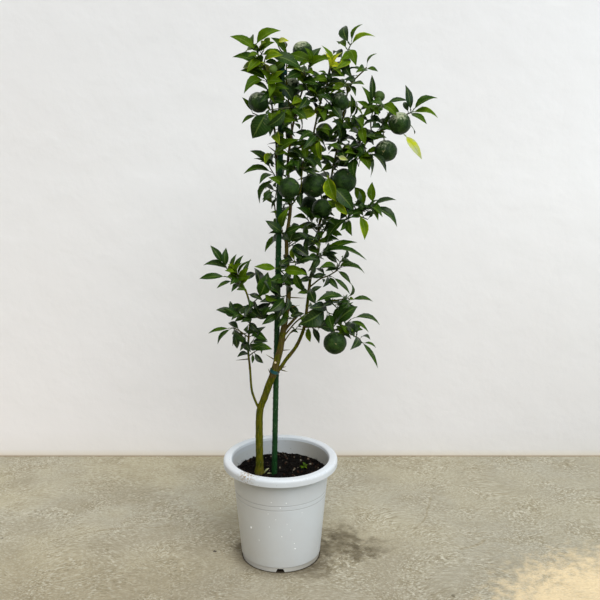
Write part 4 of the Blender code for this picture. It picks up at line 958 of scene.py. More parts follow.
bm = bmesh.new()
count = round((stake_length - STAKE_FOOT_GAP - STAKE_HEAD_GAP) / STAKE_STEP)
coat = [(STAKE_RADIUS, stake_foot + stake_axis * (STAKE_FOOT_GAP + STAKE_STEP * i))
        for i in range(count + 1)]
nubs = []
for face in grow_tube(bm, coat, STAKE_SIDES):
    middle = face.calc_center_median() - stake_foot
    rise = middle.dot(stake_axis)
    out = middle - stake_axis * rise
    row = round((rise - STAKE_FOOT_GAP) / STAKE_STEP - 0.5)
    side = round(math.atan2(out.y, out.x) / (2 * math.pi) * STAKE_SIDES - 0.5)
    in_pattern = (side + row // NUB_EVERY * 2) % NUB_EVERY == 0
    if len(face.verts) == 4 and row % NUB_EVERY == 0 and in_pattern:
        nubs.append(face)
bmesh.ops.inset_individual(bm, faces=nubs, thickness=NUB_RIM, depth=0.0)
for face in nubs:
    bmesh.ops.translate(bm, verts=face.verts, vec=face.normal * NUB_TALL)
stake = finish_piece("stake_tube_coated", bm, build_coat("stake_coat", STAKE_GREEN, STAKE_WORN))
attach(stake, "root")
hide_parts("stake_tube")


def turn_on_stake(name, outline, rise, corner):
    """A plastic part turned round the stake's axis, that far up from its foot."""
    bm = spin_profile(outline, FITTING_STEPS)
    lean = (Matrix.Translation(stake_foot + stake_axis * rise)
            @ stake_axis.to_track_quat("Z", "Y").to_matrix().to_4x4())
    bmesh.ops.transform(bm, matrix=lean, verts=bm.verts)
    return finish_piece(name, bm, cap_plastic, corner=corner)


cap_plastic = build_coat("cap_plastic", CAP_GREEN, CAP_WORN)
outline = [(0, CAP_LENGTH)]
outline += arc_points((CAP_RADIUS - CAP_ROLL, CAP_LENGTH - CAP_ROLL), CAP_ROLL, 90, 0, 6)
outline += [(CAP_RADIUS, 0.0), (CAP_BORE, 0.0), (CAP_BORE, CAP_FLOOR), (0, CAP_FLOOR)]
cap = turn_on_stake("stake_top_cap", outline, stake_length - CAP_LENGTH, 50)
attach(cap, "root")
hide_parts("stake_cap")

outline = [(0, 0)]
for i in range(SHOE_RINGS + 1):
    share = i / SHOE_RINGS
    outline.append((SHOE_TIP + (SHOE_RADIUS - SHOE_TIP) * share,
                    SHOE_NOSE + (SHOE_SHOULDER - SHOE_NOSE) * share))
outline += [(SHOE_RADIUS, SHOE_LENGTH - 0.001), (SHOE_BORE, SHOE_LENGTH),
            (SHOE_BORE, SHOE_SHOULDER), (0, SHOE_SHOULDER)]
shoe = turn_on_stake("stake_point_shoe", outline, 0.0, 35)
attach(shoe, "root")
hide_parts("stake_point")


# ---- ties: soft teal ribbon wound round the stem and the stake -------------------------------
# Each tie is a flat stretchy ribbon, wound three times round the wood and the stake together
# and finished behind with a small knot whose two ends stick out.
TIE_TEAL = (0.002, 0.082, 0.086)
TIE_CREASE = (0.001, 0.036, 0.044)
TIE_SLOPE = 0.4
TIE_HEIGHTS = {"tie_lower": 0.581, "tie_upper": 1.402}
WRAPS = 3
WRAP_RISE = 0.0031
RIBBON_WIDE = 0.0038
RIBBON_THICK = 0.0011
KNOT_RADIUS = 0.0034
TAIL_RADII = (0.0016, 0.0019, 0.0019, 0.0018, 0.0014)
TAIL_STEP = 0.0022
TIE_CORNERS = 24


def build_ribbon_look():
    look, tree, shader = new_material("tie_ribbon", Roughness=0.55, Specular_IOR_Level=0.4)
    folds = add_node(tree, "ShaderNodeMapping", {
        "Vector": object_place(tree), "Scale": (1.0, 1.0, 9.0)})
    crease = patches(tree, folds.outputs[0], 110.0, 0.35, 0.7, 4.0)
    finish_look(tree, shader, mix_colour(tree, crease, TIE_TEAL, TIE_CREASE), crease, 0.4, 0.0008)
    return look


def stake_middle(height):
    share = (height - SOIL_TOP) / (STAKE_TOP.z - SOIL_TOP)
    return STAKE_AT_SOIL.lerp(STAKE_TOP, share)


def wood_at(stations, height):
    for (r1, a), (r2, b) in zip(stations, stations[1:]):
        if a.z <= height <= b.z:
            share = (height - a.z) / (b.z - a.z)
            return r1 + (r2 - r1) * share, a.lerp(b, share)
    raise ValueError("no wood at this height")


def ribbon_loop(stations, height, slack):
    """Points round the wood and the stake together, as a ribbon pulled tight would lie."""
    radius, middle = wood_at(stations, height)
    spots = []
    for centre, size in ((middle, radius), (stake_middle(height), STAKE_RADIUS + 0.0006)):
        spots += [(centre + on_circle(size + slack, 2 * math.pi * i / TIE_CORNERS)).xy
                  for i in range(TIE_CORNERS)]
    return [Vector((*spots[i], height)) for i in geometry.convex_hull_2d(spots)]


def build_tie(name, stations, height):
    bm = bmesh.new()
    for wrap in range(WRAPS):
        level = height + (wrap - 1) * WRAP_RISE
        loop = ribbon_loop(stations, level, 0.0010 + 0.0002 * (wrap % 2))
        ring = [bm.verts.new(place - Vector((0, 0, RIBBON_WIDE / 2))) for place in loop]
        edges = [bm.edges.new(pair) for pair in zip(ring, ring[1:] + ring[:1])]
        raised = bmesh.ops.extrude_edge_only(bm, edges=edges)["geom"]
        upper = [item for item in raised if isinstance(item, bmesh.types.BMVert)]
        bmesh.ops.translate(bm, verts=upper, vec=(0, 0, RIBBON_WIDE))
    bmesh.ops.recalc_face_normals(bm, faces=bm.faces)
    bmesh.ops.solidify(bm, geom=bm.faces[:], thickness=RIBBON_THICK)
    back = max((vertex.co for vertex in bm.verts), key=lambda place: place.y).copy()
    knot = (Matrix.Translation(back + Vector((0.0, 0.0008, 0.0)))
            @ Matrix.Diagonal((1.1, 0.8, 0.9, 1)))
    bmesh.ops.create_uvsphere(bm, u_segments=16, v_segments=10, radius=KNOT_RADIUS, matrix=knot)
    for side, drop in ((-1, -0.5), (1, -0.9)):
        tail = [(radius, back + Vector((side * TAIL_STEP * i, 0.0018 + 0.0004 * i,
                                        drop * TAIL_STEP * i)))
                for i, radius in enumerate(TAIL_RADII)]
        grow_tube(bm, tail, 8)
    slope = Matrix.Identity(4)
    slope[2][0], slope[2][3] = -TIE_SLOPE, TIE_SLOPE * back.x
    bmesh.ops.transform(bm, matrix=slope, verts=bm.verts)
    tie = finish_piece(f"{name}_ribbon", bm, tie_ribbon, corner=45)
    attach(tie, "root")
    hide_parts(name)


tie_ribbon = build_ribbon_look()
_, thin, places = LIMBS["tied_leader"]
leader = [(thin / 1000, metres(place)) for place in places]
for tie_name, stations in (("tie_lower", stem), ("tie_upper", leader)):
    build_tie(tie_name, stations, TIE_HEIGHTS[tie_name])


# ---- fruits: unripe yuzu, 46 to 69 mm across, and two fruitlets, on short stalks -------------
# Flattened globes with thick, lumpy, pitted skin, dark green with paler pores. Those that the
# sun reaches are paler on the side that faces the light, partly bleached straw-coloured and
# partly a painted highlight. A pale star-shaped calyx holds each stalk.

# Each is written as: middle, diameter in millimetres before SKIN_FULL and the lumps swell it,
# where it hangs, how pale its lit side is from bleaching and painted highlight, and for a
# fruitlet how yellow.
FRUITS = {
    "fruit_left_high": ((-5.1, -4.5, 132.2), 52, (-2.3, -2.6, 135), 0.85),
    "fruit_top": ((6.3, -1, 145.2), 49, (7, -1.6, 139.6), 1.0),
    "fruit_upper_middle": ((3.3, 0.8, 135.6), 51, (6.4, -1.2, 135.6), 1),
    "fruit_upper_right": ((16.1, -2, 132.1), 45, (18.2, 0.7, 134), 0.8),
    "fruitlet": ((26.4, -0.8, 133.5), 29, (25.5, 0.7, 130.1), 0.15, 0.15),
    "fruit_far_right": ((31.7, -3, 126.7), 57, (32.5, 0.3, 128), 1),
    "fruit_right": ((28.4, -1.5, 119.3), 58, (27.6, 0.3, 124.8), 0.75),
    "fruit_stake": ((2.7, -5, 110), 55, (2.6, 0.5, 113.5), 0.35),
    "fruit_big_left": ((9.4, -0.3, 110), 66, (6.5, -2.3, 116), 0.25),
    "fruit_big_right": ((17.5, 0, 111.1), 65, (14.3, 5.9, 112.6), 0.3),
    "fruit_shaded": ((11.6, 1.2, 103.4), 53, (13.4, 6, 107.5), 0.1),
    "fruit_behind_low": ((8.2, 7.6, 103.2), 50, (12, 5.8, 102.6), 0.2),
    "fruit_behind_high": ((12.2, 4.5, 123.7), 46, (16.4, 3.5, 123.5), 0.5),
    "fruit_low": ((15.2, -7.8, 68), 61, (15, -4, 70.6), 0.45),
    "fruitlet_left": ((-1.2, -7.6, 140.8), 21, (-2.6, -3, 137.8), 0.1, 0.42),
}
FRUIT_FLATNESS = 0.94
SKIN_FULL = 1.04
STALK_RADIUS = 0.0016
SUN_SIDE = Vector((-0.25, -0.30, 0.92)).normalized()
SKIN_DARK = (0.007, 0.022, 0.004)
SKIN_GREEN = (0.028, 0.064, 0.010)
SKIN_PORE = (0.062, 0.098, 0.038)
SKIN_YELLOW = (0.21, 0.33, 0.06)
SKIN_BLEACH_AND_HIGHLIGHT = (0.43, 0.47, 0.31)
SKIN_BLEMISH = (0.36, 0.31, 0.14)
CALYX_PALE = (0.26, 0.27, 0.13)
CALYX_GREEN = (0.12, 0.14, 0.05)


def build_skin():
    look, tree, shader = new_material("yuzu_skin", Specular_IOR_Level=0.12)
    place = object_place(tree)
    cloud = patches(tree, place, 55.0, 0.35, 0.68, 4.0)
    pores = add_node(tree, "ShaderNodeTexVoronoi", {
        "Vector": place, "Scale": 620.0}).outputs["Distance"]
    tone = mix_colour(tree, cloud, SKIN_DARK, SKIN_GREEN)
    dot = fade(tree, pores, 0.42, 0.12, high=0.55, smooth=True)
    tone = mix_colour(tree, dot, tone, SKIN_PORE)
    tone = mix_colour(tree, attribute(tree, "ripe"), tone, SKIN_YELLOW)
    # Sun bleaching and a painted highlight together pale the side that faces the light.
    bleach_and_highlight = stray(tree, attribute(tree, "bleach_and_highlight"), patches(tree, place, 170.0, 0.3, 0.7, 6.0), 0.45)
    tone = mix_colour(tree, fade(tree, bleach_and_highlight, 0.50, 1.02, high=0.88, smooth=True), tone, SKIN_BLEACH_AND_HIGHLIGHT)
    blemish = times(tree, patches(tree, place, 85.0, 0.66, 0.74, 5.0), 0.55)
    tone = mix_colour(tree, blemish, tone, SKIN_BLEMISH)
    put(tree, fade(tree, cloud, 0, 1, 0.36, 0.5), shader.inputs["Roughness"])
    lumps = math_node(tree, "MULTIPLY_ADD", pores, -0.5, patches(tree, place, 240.0, 0.25, 0.75))
    finish_look(tree, shader, tone, lumps, 0.55, 0.0011)
    return look


def build_plain_look(name, roughness, scale, first, second, grain, strength):
    """A plant part of two mixed colours with a fine grain."""
    look, tree, shader = new_material(name, Roughness=roughness)
    place = object_place(tree)
    tone = mix_colour(tree, patches(tree, place, scale, 0.35, 0.65, 4.0), first, second)
    finish_look(tree, shader, tone, patches(tree, place, grain), strength, 0.0006)
    return look


yuzu_skin = build_skin()
calyx_look = build_plain_look("calyx_and_stalk", 0.7, 300.0, CALYX_PALE, CALYX_GREEN, 900.0, 0.4)


def grow_fruit(name, centre, diameter, hang, bleach_highlight_share, ripe=0.0):
    middle = metres(centre)
    radius = diameter / 2000 * SKIN_FULL
    seat = wood_skin.find_nearest(metres(hang).lerp(middle, 0.12))[0]
    axis = (seat - middle).normalized()
    upright = axis.to_track_quat("Z", "Y").to_matrix()
    bm = bmesh.new()
    ripe_layer = bm.verts.layers.float.new("ripe")
    bleach_highlight_layer = bm.verts.layers.float.new("bleach_and_highlight")
    seed = Vector((centre[0], centre[2], diameter)) * 0.37
    for vertex in bmesh.ops.create_uvsphere(bm, u_segments=56, v_segments=36, radius=1)["verts"]:
        way = vertex.co.copy()
        lumps = 0.030 * noise.noise(way * 2.4 + seed) + 0.022 * noise.noise(way * 7.0 + seed)
        turn = math.atan2(way.y, way.x)
        furrow = -0.022 * max(0.0, way.z - 0.45) * (1 + math.cos(5 * turn + seed.x))
        neck = 0.25 * max(0.0, way.z - 0.85)
        navel = -0.6 * max(0.0, -way.z - 0.93)
        shaped = way * (radius * (1 + lumps + furrow + neck + navel))
        shaped.z *= FRUIT_FLATNESS
        vertex.co = middle + upright @ shaped
        vertex[ripe_layer] = ripe
        vertex[bleach_highlight_layer] = bleach_highlight_share * max(0.0, (upright @ way).dot(SUN_SIDE))
    top = middle + axis * (radius * FRUIT_FLATNESS * 1.02)
    calyx = bmesh.ops.create_cone(bm, cap_ends=True, segments=20, radius1=0.0046,
                                  radius2=0.0022, depth=0.0022)["verts"]
    for vertex in calyx:
        lobe = 1.0 + 0.28 * math.cos(5 * math.atan2(vertex.co.y, vertex.co.x))
        vertex.co = top + upright @ (vertex.co * Vector((lobe, lobe, 1)))
    bend = seat.lerp(top, 0.5) + Vector((0, 0, 0.12 * (seat - top).length))
    foot = seat - (top - seat).normalized() * 0.001
    stalk = smooth_route([(0.0019, top), (STALK_RADIUS, bend), (0.0018, foot)], 0.003)
    green = grow_tube(bm, stalk, 10) | {face for vertex in calyx for face in vertex.link_faces}
    for face in green:
        face.material_index = 1
    return finish_piece(name, bm, yuzu_skin, calyx_look)


for fruit_name, facts in FRUITS.items():
    fruit = grow_fruit(f"yuzu_{fruit_name}", *facts)
    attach(fruit, "root")
    if fruit_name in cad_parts:
        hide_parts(fruit_name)


# ---- leafy shoots: glossy evergreen leaves, mostly 4 to 9 cm long, on thin green twigs --------
# Each leaf has a small winged stalk, then a pointed blade folded along a pale midrib, arched
# and a little wavy. The last leaf of a shoot grows from the twig's end.

# Each shoot is written as: how light its green is, the twig's route, then each leaf's tip and
# how far its face turns to the front, in degrees. A fifth number is that leaf's own lightness,
# and a sixth its width as a share of its length.
SHOOTS = {
    "top_left": (0.6, ((-5, -4, 144.5), (-6, -4.5, 146)), (
        (-12, -4.5, 149, 25), (-1, -8.5, 147.5, 55), (-8.5, 1.5, 145, 30), (-7, 1.5, 148.5, 30),
        (0.5, -4.5, 150.5, 40))),
    "upper_left": (0.52, ((-3, -3.5, 140), (-3.5, -5, 142), (-3, -6, 144)), (
        (-11.5, -4.5, 144, 20), (-9.5, -1.5, 141, 30), (1, -9.5, 144.5, 40), (6, -7, 141, 35))),
    "stake_top": (0.48, ((2.5, -1.6, 143), (2.2, -2, 144.5), (2, -2.2, 145.5)), (
        (4.5, 2, 142, 30), (-1.5, -4.5, 148.5, 40), (9.5, -4, 142.4, 30), (1.5, -3.5, 147.8, 30))),
    "left_shoulder": (0.52, ((-2.5, -3, 137), (-3, -4.5, 137.5), (-2.5, -5.5, 138.5)), (
        (-9.5, -4, 140.5, 35), (-8.5, -9.5, 135, 30), (1, -10, 138, 45), (-4, -10.5, 142.5, 60),
        (-2, -9.5, 134, 30))),
    "left_of_fruit": (0.4, ((-1.5, -2, 129.5), (-4, -1.4, 128.3), (-6.8, -1, 129.2)), (
        (-2, -9, 127, 30), (-4, -1, 124, 20), (-4.5, -6, 124, 50),
        (-9.5, -5, 127.2, 20, 0.4, 0.28),
        (-9.5, -1, 133.3, 50, 0.44, 0.30))),
    "hanging_big": (0.3, ((-1.4, -1.6, 128), (0.6, -6, 130.2), (3, -8.6, 131.2), (1, -8.6, 131),
            (-2.3, -8, 130.6)), (
        (4.5, -9, 128, 60), (1.5, -9.5, 126.5, 50), (-3.1, -10, 126.4, 70, 0.22, 0.34),
        (-6.5, -9, 123.4, 75, 0.25, 0.62))),
    "upper_middle": (0.34, ((4.5, -1, 129.5), (3.5, -3, 130.5), (4, -4.5, 131.5)), (
        (6, 1, 124, 30), (1, -6, 125.5, 40), (-2, -7.5, 127.5, 30), (7.5, -9, 128.5, 20),
        (0, -6.5, 137.5, 65, 0.16))),
    "top_middle": (0.46, ((7, -1.5, 138), (7.8, -2.8, 140.5), (7.8, -3.5, 141.5)), (
        (2, -6.5, 141, 15, 0.6), (8, 4, 136.5, 30), (13, -6.5, 143.6, 65, 0.52, 0.42),
        (11, -2.5, 146, 20),
        (7, -6.5, 146, 80))),
    "gold": (0.48, ((13, 0, 137), (13, -1, 139), (13.5, -1, 141.5)), (
        (8.5, -5.5, 138, 30), (17, -6, 139, 60), (11.5, -0.5, 146.5, 30, 0.6),
        (12, -1, 144.5, 10, 0.7), (16, -1, 144.5, 10, 0.7))),
    "top_right": (0.46, ((17.8, 0.5, 144.3), (18.5, 0, 146), (19, 0, 147)), (
        (16, -5.5, 143, 30), (16, 6.5, 147, 30), (20, -4.5, 141.5, 45), (25, 0, 149, 30),
        (17.5, 5, 151.5, 70), (21.5, 0, 152, 30))),
    "right_end": (0.48, ((22, -1, 139.8), (23, -1, 141)), (
        (20, -7, 140, 30), (26, -1, 140, 40), (25.5, -1, 144.5, 15))),
    "right_pair": (0.36, ((24.9, 0.7, 129.3), (24, -0.8, 130.5), (24.5, -1.2, 131.5)), (
        (22.2, -2, 136.1, 75, 0.40, 0.30), (20.5, -3.5, 132.5, 50), (26, -5.5, 129, 30),
        (24.4, 0, 139, 70, 0.22, 0.25))),
    "right_bow": (0.44, ((26.3, 0.7, 131), (27, -0.8, 131.2), (28, -1.2, 131.5)), (
        (22, -3, 128.5, 20), (30.5, -6.5, 129, 50), (24, -6.5, 132.5, 30), (34, -1, 132.5, 25))),
    "right_drop": (0.34, ((17, 2, 127), (18.5, 0.5, 127.5), (20.5, -0.5, 128)), (
        (17.5, 6.5, 129.5, 60), (19, -4.5, 125.5, 75), (19, 0.5, 134, 45), (20.5, -1.5, 132.5, 60),
        (22, -6.5, 126, 20))),
    "far_right": (0.38, ((34.1, -0.6, 129), (35, -1.5, 129.5)), (
        (33, 2, 132, 60), (38.5, -6, 127, 30), (42, -1.5, 128.5, 35), (33.5, -1, 136.5, 60),
        (41.5, -1.5, 133.5, 30))),
    "faded_leaf": (0.4, ((32.6, 0.2, 128), (33.6, -1.5, 126.4), (32.8, -3, 124)), (
        (36.5, 2.5, 123.5, 30), (37.5, -6, 117.8, 50, 0.99, 0.30))),
    "over_right_fruit": (0.26, ((21.5, 1.2, 121.3), (22, -0.8, 119.8), (23, -1.8, 118.5)), (
        (20.5, -5.5, 118, 60), (18.5, -5.5, 121, 20), (25, 1, 112, 30), (27, -5.5, 124, 65),
        (28.5, -6.5, 115, 15))),
    "vee": (0.36, ((9.3, -0.8, 124), (10.2, -2.4, 123.5), (11, -3.6, 122.8)), (
        (5.5, -6.5, 123, 20), (13.5, -7, 125.5, 30), (6.5, -7.5, 120.5, 30, 0.3, 0.26),
        (6, 3, 121.5, 40),
        (10.5, -7.5, 118, 80, 0.5), (11.2, -6.6, 117.6, 80, 0.62, 0.5))),
    "dark": (0.22, ((16, 4.2, 120.5), (16, 2, 119.5), (15.5, 0.5, 119.5)), (
        (13.5, 9.5, 118.5, 30), (20.5, -3.5, 122.5, 30), (20, 6.5, 118, 50), (17.5, -5.5, 117, 30),
        (14.9, -2.4, 128, 80, 0.2, 0.40))),
    "left_of_stake": (0.46, ((-0.3, 1.1, 111), (-1.2, -0.3, 112.8), (-2.5, -1, 115)), (
        (-5.5, 0.5, 105, 30), (-5, -5.5, 111.5, 30), (-9.5, -0.5, 113.5, 25),
        (-6.5, -1, 117.5, 30, 0.5, 0.26), (-7.5, -1, 119.5, 35))),
    "inner": (0.36, ((10.4, -0.8, 131), (9, -2, 132.5), (7.5, -3, 133.5)), (
        (12, -6.5, 128, 30), (13.8, -6, 136.2, 30), (8, -7.5, 136, 35), (10.5, 1, 126.6, 40),
        (5.5, -8.5, 131, 30))),
    "right_stair": (0.34, ((23, 0.3, 103.4), (24.5, -1, 104.5), (25.5, -1.5, 105)), (
        (20.5, 3.5, 109, 60), (27.5, -6, 103, 20), (26.5, -5.5, 101.5, 10), (32, -3, 99.5, 30),
        (31.5, -1, 106.5, 20), (25, -1, 111, 75))),
    "variegated": (0.32, ((13.6, 5.5, 107.2), (15, 2.5, 106.2), (15.5, -1.5, 105.8)), (
        (20.5, 2, 103, 60), (18, -0.5, 102.5, 70), (13, -7, 107, 85, 0.5))),
    "right_step": (0.38, ((17.5, 1.8, 99.9), (19, 0, 101), (21.2, -2, 102.6)), (
        (16.5, -4.5, 98.5, 30, 0.36, 0.28), (15.5, 3, 107.5, 50),
        (19.4, -4.5, 97.2, 60, 0.4, 0.36),
        (12.5, -1.5, 94, 30, 0.3, 0.3), (22.5, 4, 103.5, 40), (23, -4.5, 96, 50, 0.62, 0.30))),
    "middle_arch": (0.42, ((10.6, 3.6, 90.5), (11, 1, 91), (11.5, -1, 91)), (
        (9, -1, 95, 60, 0.62), (8, -1.5, 86.5, 40), (17, 3, 88, 10), (17, -2.5, 93.5, 40),
        (21, -0.5, 95, 30, 0.42, 0.28), (23.5, -6, 91.5, 25, 0.32, 0.20))),
    "middle_low": (0.42, ((2.5, -2, 86.5), (4, -4, 88), (4.5, -4.5, 89.5)), (
        (-1, -6.5, 88.5, 20), (0.5, -6, 84, 30), (6.5, -4, 81.5, 60), (10, -7, 91.5, 35),
        (5, 0, 94, 50, 0.6))),
    "low_right_tip": (0.32, ((17.4, -8.4, 80.5), (18.5, -9, 81), (19, -9.5, 80.5)), (
        (13.6, -10.5, 82.4, 12, 0.3, 0.26), (10, -11.5, 80.8, 20, 0.3, 0.28),
        (19.6, -8, 84.8, 75, 0.30, 0.62), (17.5, -14, 79.6, 60),
        (20, -10.6, 81, 60, 0.58, 0.5), (25.2, -9.5, 80.4, 30, 0.34, 0.24))),
    "low_right_hang": (0.3, ((12.5, -7, 79), (13, -8.5, 77), (14.5, -9, 76.5)), (
        (8, -13.5, 79.5, 30), (5.5, -12.5, 74.5, 65, 0.2, 0.52), (10.5, -12.5, 73.5, 60),
        (14.5, -14.5, 73.5, 40), (21, -9, 78.5, 40))),
    "lowest_right": (0.38, ((20.8, -6.2, 69.2), (21.8, -7, 69), (22.5, -8, 68)), (
        (20.5, -0.5, 72, 30), (19.5, -13, 68, 30), (24.5, -10.5, 70, 30),
        (26.8, -13, 63, 30, 0.34, 0.16),
        (26.5, -7.5, 66.5, 20, 0.36, 0.26))),
    "low_right_upper": (0.4, ((17, -4.8, 70.5), (18, -6, 72.5), (19.5, -7, 74.5)), (
        (17, 0.5, 72.5, 30), (20, -12, 71.5, 30), (17, -0.5, 75.5, 40),
        (24, -11, 72.5, 30, 0.42, 0.22),
        (27.6, -6.5, 73.2, 25, 0.28, 0.24))),
    "left_rosette": (0.38, ((-10.4, -6.7, 85), (-12, -7.6, 87.2), (-13.8, -8, 88.8),
            (-14.6, -8, 90)), (
        (-7.6, -9.5, 91.6, 40, 0.34, 0.16), (-8, -12, 87.5, 60, 0.5, 0.30),
        (-9.6, -8, 92.5, 50, 0.28, 0.26),
        (-11.4, -8, 92.8, 50, 0.24, 0.26), (-20.2, -7.5, 90, 30, 0.32, 0.28),
        (-14, -7.5, 94.4, 50, 0.26, 0.36),
        (-18, -8, 95.2, 35, 0.26, 0.32))),
    "rosette_heart": (0.56, ((-10.4, -6.7, 85), (-11.2, -8, 86), (-11.7, -8.6, 87.2)), (
        (-9.2, -11, 85.7, 60, 0.50, 0.5), (-7.6, -10, 87.3, 60, 0.56, 0.5),
        (-8.1, -10, 89.5, 60, 0.58, 0.5),
        (-9.9, -10, 90.9, 60, 0.55, 0.46), (-11.9, -9.6, 91.2, 60, 0.60, 0.46),
        (-13.4, -10, 90.6, 60, 0.57, 0.46),
        (-13.9, -11, 89.2, 60, 0.52, 0.5), (-12.8, -12, 88.9, 60, 0.56, 0.5),
        (-13.8, -11, 87.2, 60, 0.46, 0.5),
        (-12.6, -12, 85.6, 60, 0.40, 0.5))),
    "left_far": (0.34, ((-9, -6, 82), (-11, -7.3, 84.4), (-13.6, -8, 86.6)), (
        (-7.6, -4.5, 90.8, 50, 0.30, 0.18), (-8.5, -12, 84, 40), (-12.5, -11, 83.4, 40),
        (-16.6, -9.5, 84, 25, 0.34, 0.28), (-21.4, -7.5, 86, 30, 0.34, 0.30))),
    "left_big": (0.3, ((-8, -6, 78), (-6, -6.5, 80), (-4, -7.5, 82)), (
        (-9, -11.5, 76.5, 20), (-4.5, -11, 76, 50), (-3, -6.5, 87.5, 60, 0.36, 0.5),
        (-6.5, -2.5, 88, 40),
        (-0.5, -9.5, 80.5, 65, 0.5))),
    "left_fan": (0.32, ((-8, -5.5, 73), (-10, -6.5, 74.5), (-11.5, -7.5, 75.5)), (
        (-5.5, -8, 71, 40), (-7.5, -9, 78, 30), (-12.5, -12, 76, 30), (-15, -2, 75.5, 30),
        (-17, -8, 77.5, 30))),
    "left_pair": (0.36, ((-12, -6.5, 71.8), (-13, -7, 72)), (
        (-9, -11, 70, 60), (-11.5, -7, 66, 60), (-17, -8.5, 68, 15, 0.3, 0.26),
        (-19.5, -7, 70.5, 15, 0.4, 0.28))),
    "right_drop_top": (0.4, ((16.5, 0.5, 142.5), (17.5, -0.5, 143.5), (18.5, -1, 143.5)), (
        (14.5, 6, 144.5, 30), (17, 4.5, 138.5, 30), (19, -5.5, 138.5, 70), (15, -6, 141, 30))),
    "right_olive": (0.46, ((18.5, 0.5, 135.5), (18, -1, 136), (17.5, -2, 136)), (
        (13.5, -4.5, 134.5, 25), (22, -7, 137, 30), (14.5, 4.5, 137, 20), (20, -6, 134.2, 10))),
    "stake_leaves": (0.36, ((-0.8, -0.6, 119.5), (-1, -2.5, 118), (-0.6, -3.4, 117)), (
        (-1.5, 2.5, 114.5, 60), (2, -7, 119.5, 75), (5.5, -6, 123, 25), (-0.5, -7.5, 114.5, 60),
        (2.5, -7, 115, 50))),
    "stem_mid_spray": (0.32, ((2.5, 0.5, 116), (5.5, -1, 117), (7.5, -2, 118.5)), (
        (3, -6, 120, 20), (2.5, -7, 116.5, 25), (5, -7.5, 115.5, 40), (11.5, -5.5, 115, 20),
        (13, 1.5, 119.5, 40))),
    "mid_top_back": (0.32, ((11.5, -0.5, 133.5), (13.5, -1.5, 131.5), (14.5, -2.5, 129.5)), (
        (17, -5.5, 135, 15), (10.5, -6, 128.5, 50), (16.5, -6, 128, 30), (12, -7.5, 131, 60),
        (10.6, -7, 134.6, 30), (13, 2, 134.5, 30))),
    "centre_left_olive": (0.42, ((2, -1, 96.5), (1, -3, 97.5), (1, -3.5, 98.5)), (
        (-2.8, -2.5, 97.4, 25, 0.34, 0.3), (-3.5, -3, 101, 35), (6, -5.5, 100, 60),
        (2.5, -6, 105, 60))),
    "right_curl": (0.36, ((15.5, -1.3, 86.5), (16, -2, 87.2), (16.5, -3, 88)), (
        (19.5, -5, 84, 40, 0.3, 0.24), (11, -6.5, 89, 15), (23.4, -2.5, 86.4, 25, 0.34, 0.24),
        (20, 2.5, 88, 20))),
    "low_small": (0.42, ((3, -3.5, 69.5), (4.5, -4, 70.5)), (
        (5, -6, 70.5, 40), (3.5, -6, 72, 40), (6, -6, 72, 30))),
    "low_mid_yellow": (0.44, ((7.5, -1, 71.5), (10, -4, 70.5), (10.5, -5, 70.5)), (
        (8.5, -2.5, 66.5, 60, 0.66), (11, -5, 67, 30), (9, -7, 75, 50), (14, -9, 74.5, 30))),
    "left_dark_fan": (0.28, ((-8.5, -4.5, 64.5), (-8, -6, 67), (-7, -6.5, 68.5)), (
        (-10.5, -9.5, 66.5, 40), (-4.5, -9, 68, 70), (-9, -8.5, 70.5, 60), (-3.2, -7.5, 68.4, 30),
        (-4, -7, 72.5, 30))),
    "gold_tip": (0.9, ((13.3, -1, 139), (13.5, -1.6, 140.2), (13.6, -2, 141.3)), (
        (12.3, -3, 144.9, 80, 0.90, 0.17), (16.3, -3, 144.9, 80, 0.90, 0.17),
        (16.0, -4.2, 141.4, 60, 0.91, 0.45))),
    "pale_tip": (0.9, ((2.5, -1.6, 143), (0.5, -2.6, 145.5), (-0.2, -3, 147.2)), (
        (-3.5, -6, 144.5, 40, 0.56), (2.7, -5, 147.7, 50, 0.93, 0.42))),
    "pale_leaf": (0.5, ((17.8, 3.5, 119.3), (16.5, 0, 119), (15.4, -4.2, 118.3)), (
        (13.5, -5, 121.5, 40), (19, -5, 120.5, 40), (18.2, -5.4, 117.5, 60, 1.0, 0.40))),
    "lit_leaves": (0.5, ((11.5, -3.2, 114.6), (13.2, -4.3, 113), (14.2, -4.4, 109.5),
            (14.7, -4.8, 107)), (
        (15, -7, 106.8, 85, 0.62, 0.48), (19.8, -6.4, 104.4, 60, 0.26, 0.42),
        (18.2, -6.8, 103.2, 75, 0.62, 0.36))),
    "gap_low": (0.34, ((2.2, -1, 93), (5, -1.6, 95), (7.5, -2, 96.5)), (
        (4, -6, 98.5, 30), (8, -6.5, 92, 40), (3.5, -5.5, 93.5, 50), (10.5, -4, 96, 30),
        (7, -6, 101, 50), (9.5, -3, 100.5, 30), (5.5, -2.5, 90.5, 40))),
    "gap_high": (0.34, ((10.9, 4.4, 95.5), (9, 2.5, 98), (7.5, 1, 101)), (
        (12, -1.5, 99, 40), (4.5, 1, 98, 30), (5, -2, 104.5, 50), (11, -2, 103.5, 30),
        (3.8, -1, 101.5, 30), (8, -3.5, 104.5, 50))),
    "gap_thin": (0.36, ((10.9, 4.6, 96.5), (12.2, 2, 99.5), (13, 0, 102)), (
        (9.5, -3, 102, 30), (15, -4, 100, 30), (10.5, 1, 105, 40), (16, -2, 104.5, 50))),
    "stake_side": (0.30, ((2.3, -2.2, 80), (0.8, -4.6, 80.2), (-0.8, -5.8, 80.8)), (
        (2, -8, 84.5, 50), (1.5, -8.5, 77, 50), (-3, -9, 77, 60), (-0.5, -8.5, 74.8, 50),
        (-4.5, -7.5, 86, 50), (-5, -9, 80, 40), (-2, -9.5, 83.5, 60))),
    "stake_side_low": (0.30, ((1.9, -3, 75.5), (0.2, -5, 75.8), (-1.8, -6, 76.5)), (
